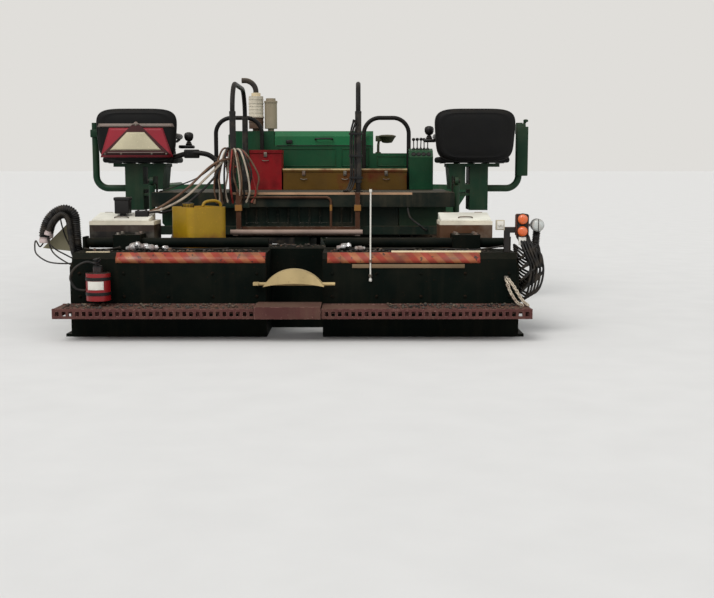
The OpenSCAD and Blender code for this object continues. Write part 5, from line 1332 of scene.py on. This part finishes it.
class PAVER_OT_deck_gear(bpy.types.Operator):
    """Small fittings of the tractor: console dials and levers, latches, tank cap and brackets"""
    bl_idname = "paver.deck_gear"
    bl_label = "Deck fittings"

    def execute(self, context):
        low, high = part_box("console")
        dials = [(x, low.y + 0.022, 1.326) for x in np.linspace(low.x + 0.04, high.x - 0.04, 4)]
        put("console_dials", turned(18, dials, (0, -0.77, 0.64), 21, -4, 22, 4, 19, 7, 17, 3, 4, 3),
            "knob_black", "tractor", 40)
        levers = []
        for k, x in enumerate(np.linspace(low.x + 0.045, high.x - 0.045, 5)):
            lean = 0.02 * (k % 3 - 1)
            levers += [
                tube([(x, -0.26, 1.372), (x, -0.262 - lean, 1.42), (x, -0.265 - 2 * lean, 1.455)],
                     0.005, 8),
                turned(14, [(x, -0.265 - 2 * lean, 1.462)], None, 5, -12, 14, -6, 17, 4, 12, 15, 4, 18),
                turned(12, [(x, -0.26, 1.374)], None, 16, -3, 14, 6, 7, 16)]
        put("console_levers", levers, "knob_black", "tractor", 50)
        low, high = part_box("hood_lid")
        rear = low.y
        put("hood_seam", tube([(x, rear - 0.001, 1.412) for x in (low.x + 0.02, 0.1, high.x - 0.02)],
                              0.004, 6), "knob_black", "lid")
        handle = curve([(0.05, rear, 1.47), (0.055, rear - 0.035, 1.475), (0.13, rear - 0.04, 1.477),
                        (0.205, rear - 0.035, 1.475), (0.21, rear, 1.47)], 24)
        put("hood_latches", [
            *[slab((x - 0.03, rear - 0.02, 1.43), (x + 0.03, rear + 0.001, 1.465), 0.006)
              for x in (-0.2, 0.46)], tube(handle, 0.008, 10)], "knob_black", "lid", 40)
        ribs = []
        for x0, x1, z0, z1 in HOOD_PANELS:
            ring = np.array([(x, HOOD_REAR, z) for x, z in ((x0, z0), (x1, z0), (x1, z1), (x0, z1))])
            ribs += [slab(np.minimum(a, b) - 0.004, np.maximum(a, b) + 0.004, 0.002)
                     for a, b in zip(ring, np.roll(ring, -1, 0))]
        put("hood_panels", ribs, "hood_green", "tractor", 30)
        put("intake_fitting", [
            tube([(0.654, 0.3, 1.336), (0.654, 0.3, 1.42), (0.66, 0.3, 1.468), (0.70, 0.3, 1.475)],
                 0.013, 12),
            turned(14, [(0.654, 0.3, 1.338)], None, 30, 0, 30, 12, 18, 20),
            slab((0.628, 0.27, 1.46), (0.69, 0.33, 1.515), 0.006),
            turned(28, [(0.742, 0.3, 1.443)], None, 12, 0, 45, 4, 52, 12, 78, 55, 86, 60, 86, 72,
                   60, 80, 20, 83)], "fitting_olive", "tractor", 40)
        put("canister_rings", [
            *[turned(32, [(*STACK, z)], None, 70, -6, 74.5, -3, 74.5, 3, 70, 6)
              for z in (1.712, 1.745, 1.778, 1.811, 1.844, 1.877)],
            turned(32, [(*STACK, 1.7)], None, 60, -10, 79, -6, 79, 6, 60, 10)],
            "stack_cream", "tractor", 40)
        put("canister_neck", turned(24, [(*STACK, 1.905)], None, 30, 0, 46, 3, 46, 33, 40, 37, 20, 39),
            "edge_pale", "tractor", 40)
        turn = np.linspace(0, FULL, 24, endpoint=False)
        knurl = slab((-0.0025, 0.044, 0.896), (0.0025, 0.048, 0.924), 0.001)
        put("tank_cap", [copies(knurl, np.tile([(*CAP, 0.0)], (24, 1)), about(turn)),
                         turned(24, [(*CAP, 0.0)], None, 42, 925, 45, 931, 30, 934, 12, 934.5)],
            "knob_black", "screed", 40)
        put("tank_handle", tube(curve([(-0.74, -2.13, 0.906), (-0.72, -2.12, 0.94), (-0.66, -2.08, 0.95),
                                       (-0.62, -2.05, 0.935), (-0.61, -2.04, 0.906)], 24), 0.011, 10),
            "tank_yellow", "screed", 60)
        put("seat_arm_left", [
            tube(curve([(-1.30, -0.80, 1.262), (-1.14, -0.90, 1.30), (-1.0, -0.95, 1.33),
                        (-0.86, -0.97, 1.318), (-0.775, -0.975, 1.265)], 30), 0.022, 12),
            slab((-0.80, -1.0, 1.225), (-0.75, -0.95, 1.275), 0.008),
            slab((-1.06, -0.975, 1.285), (-0.93, -0.915, 1.36), 0.01)], "rail_black", "seat_l", 50)
        put("guard_bracket_right", [
            slab((1.862, -0.74, 1.50), (1.945, -0.64, 1.59), 0.008),
            slab((1.868, -0.742, 1.13), (1.968, -0.728, 1.565), 0.006),
            slab((1.90, -0.72, 1.36), (1.94, -0.66, 1.50), 0.006),
            tube([(1.92, -0.69, 1.55), (1.94, -0.69, 1.60), (1.95, -0.69, 1.615)], 0.012, 10),
            turned(14, [(1.95, -0.69, 1.605)], None, 12, 0, 22, 6, 22, 20, 10, 26)],
            "stand_green", "seat_r", 40)
        put("filler_caps", [
            turned(28, [(-1.03, 0.98, 0.945), (1.03, 0.98, 0.945)], None, 35, 0, 50, 2, 50, 12, 36, 15,
                   36, 27, 46, 29, 47, 53, 42, 59, 12, 61),
            turned(24, [(1.03, 0.72, 0.945)], None, 20, 0, 30, 2, 30, 10, 14, 13, 14, 30, 32, 32,
                   34, 45, 28, 67, 8, 73)], "knob_black", "tractor", 40)
        chest = []
        for x, y, z in CHEST_LATCHES:
            chest += [slab((x - 0.015, y - 0.012, z), (x + 0.015, y + 0.001, z + 0.045), 0.003),
                      tube([(x - 0.03, y - 0.004, z - 0.03), (x, y - 0.018, z - 0.036),
                            (x + 0.03, y - 0.004, z - 0.03)], 0.004, 8)]
        put("chest_latches", chest, "bolt_steel", "tractor", 40)
        return {"FINISHED"}


class PAVER_OT_undercarriage(bpy.types.Operator):
    """Shoe bolts of the tracks, rubber aprons at the hopper's front and seals beside its wings"""
    bl_idname = "paver.undercarriage"
    bl_label = "Undercarriage fittings"

    def execute(self, context):
        low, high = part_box("track_right")
        radius = (high.z - low.z) / 2
        inner = radius - SHOE_DEEP
        straight, bend = high.y - low.y - 2 * radius, math.pi * inner
        # Shoes at even steps round the loop: lower run, front bend, upper run, rear bend
        s = (np.arange(SHOES) + 0.5) * (2 * straight + 2 * bend) / SHOES
        turn = (np.clip((s - straight) / inner, 0, math.pi)
                + np.maximum(s - 2 * straight - bend, 0) / inner)
        along = np.clip(s, 0, straight) - np.clip(s - straight - bend, 0, straight)
        normal = np.stack([0 * s, np.sin(turn), -np.cos(turn)], -1)
        centre = np.stack([0 * s, low.y + radius + along, 0 * s + radius], -1)
        heads = [copies(hexagon(0.02), [centre[k] + normal[k] * (radius - 0.004) + (x, 0, 0)],
                        facing(normal[k])) for x in (low.x + 0.06, high.x - 0.06)
                 for k in np.flatnonzero(normal[:, 2] > -0.5)]
        for side, sign in SIDES:
            put(f"shoe_bolts_{side}", mirrored(heads, sign), "bolt_steel", "tractor", 30)
            sheets = []
            for x0, x1, foot in ((0.08, 0.535, 0.12), (0.535, 0.6, 0.275), (0.6, 0.745, 0.12)):
                x, z = np.meshgrid(np.linspace(x0, x1, 16), np.linspace(0.385, foot, 8), indexing="ij")
                sway = 0.004 * np.sin(x * 23) * np.abs(z - 0.22) / 0.16
                points = np.stack([x * sign, 2.806 + sway, z], -1).reshape(-1, 3)
                sheets.append((points, [quads(16, 8)[:, ::sign]]))
            thicken(put(f"hopper_flap_{side}", sheets, "hose_black", "tractor", 60, closed=False),
                    0.007)
            x0, x1 = sorted((0.08 * sign, 0.54 * sign))
            put(f"flap_bar_{side}", [
                slab((x0, 2.8095, 0.205), (x1, 2.8155, 0.234), 0.002),
                copies(hexagon(0.016), [(x, 2.8155, 0.2195) for x in np.linspace(x0 + 0.03, x1 - 0.03, 5)],
                       facing((0, 1, 0)))], "bolt_steel", "tractor", 30)
            path = curve([(0.703, 0, 0.3635), (0.722, 0, 0.369), (0.745, 0, 0.384), (0.775, 0, 0.395),
                          (0.805, 0, 0.399), (0.85, 0, 0.4105)], 18)
            y = np.linspace(1.32, 2.785, 60)[:, None]
            seal = np.stack(np.broadcast_arrays(path[:, 0] * sign, y,
                                                path[:, 2] + 0.0015 * np.sin(y * 31)), -1)
            strip = put(f"wing_seal_{side}", (seal.reshape(-1, 3), [quads(60, 18)[:, ::-sign]]),
                        "hose_black", None, 60, closed=False)
            thicken(strip, 0.006, 0)
            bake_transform(strip)
        return {"FINISHED"}


class PAVER_OT_crumbs(bpy.types.Operator):
    """Crumbs of asphalt left on the treads, the screed and the hopper floor"""
    bl_idname = "paver.crumbs"
    bl_label = "Asphalt crumbs"

    def execute(self, context):
        pick = np.random.default_rng(3)
        ball = lathe([[0.55, -0.72], [0.95, -0.2], [0.82, 0.45], [0.4, 0.8]], 6)
        for name, body, (x0, x1, y0, y1), level, share in CRUMB_FIELDS:
            count = int(sizes().crumbs * share)
            size = pick.gamma(3, 0.0016, count) + 0.0025
            places = np.stack([pick.uniform(x0, x1, count), pick.uniform(y0, y1, count),
                               level + size * 0.5], -1)
            turn = about(pick.uniform(0, FULL, count)) * size[:, None, None]
            turn[:, 2] *= 0.75
            put(f"crumbs_{name}", copies(ball, places, turn), "asphalt", body, 25, closed=False)
        return {"FINISHED"}


OPERATORS = (PAVER_OT_finishes, PAVER_OT_stage, PAVER_OT_bolts, PAVER_OT_tapes, PAVER_OT_seats,
             PAVER_OT_sign, PAVER_OT_hoses, PAVER_OT_rear_gear, PAVER_OT_deck_gear,
             PAVER_OT_undercarriage, PAVER_OT_crumbs)


class PAVER_PT_looks(bpy.types.Panel):
    """Buttons for the pieces, with their sizes and colours"""
    bl_idname = "PAVER_PT_looks"
    bl_label = "Paver looks"
    bl_space_type = "VIEW_3D"
    bl_region_type = "UI"
    bl_category = "Paver"

    def draw(self, context):
        for operator in OPERATORS:
            self.layout.operator(operator.bl_idname)
        for group in (context.scene.paver_sizes, context.scene.paver_colours):
            column = self.layout.column()
            for key in group.__annotations__:
                column.prop(group, key)


CLASSES = (PaverSizes, PaverColours, *OPERATORS, PAVER_PT_looks)


def register():
    for kind in CLASSES:
        bpy.utils.register_class(kind)
    bpy.types.Scene.paver_sizes = PointerProperty(type=PaverSizes)
    bpy.types.Scene.paver_colours = PointerProperty(type=PaverColours)


def unregister():
    del bpy.types.Scene.paver_colours
    del bpy.types.Scene.paver_sizes
    for kind in reversed(CLASSES):
        bpy.utils.unregister_class(kind)


def main():
    register()
    for operator in OPERATORS:
        getattr(bpy.ops.paver, operator.bl_idname.split(".")[1])()


if __name__ == "__main__":
    main()
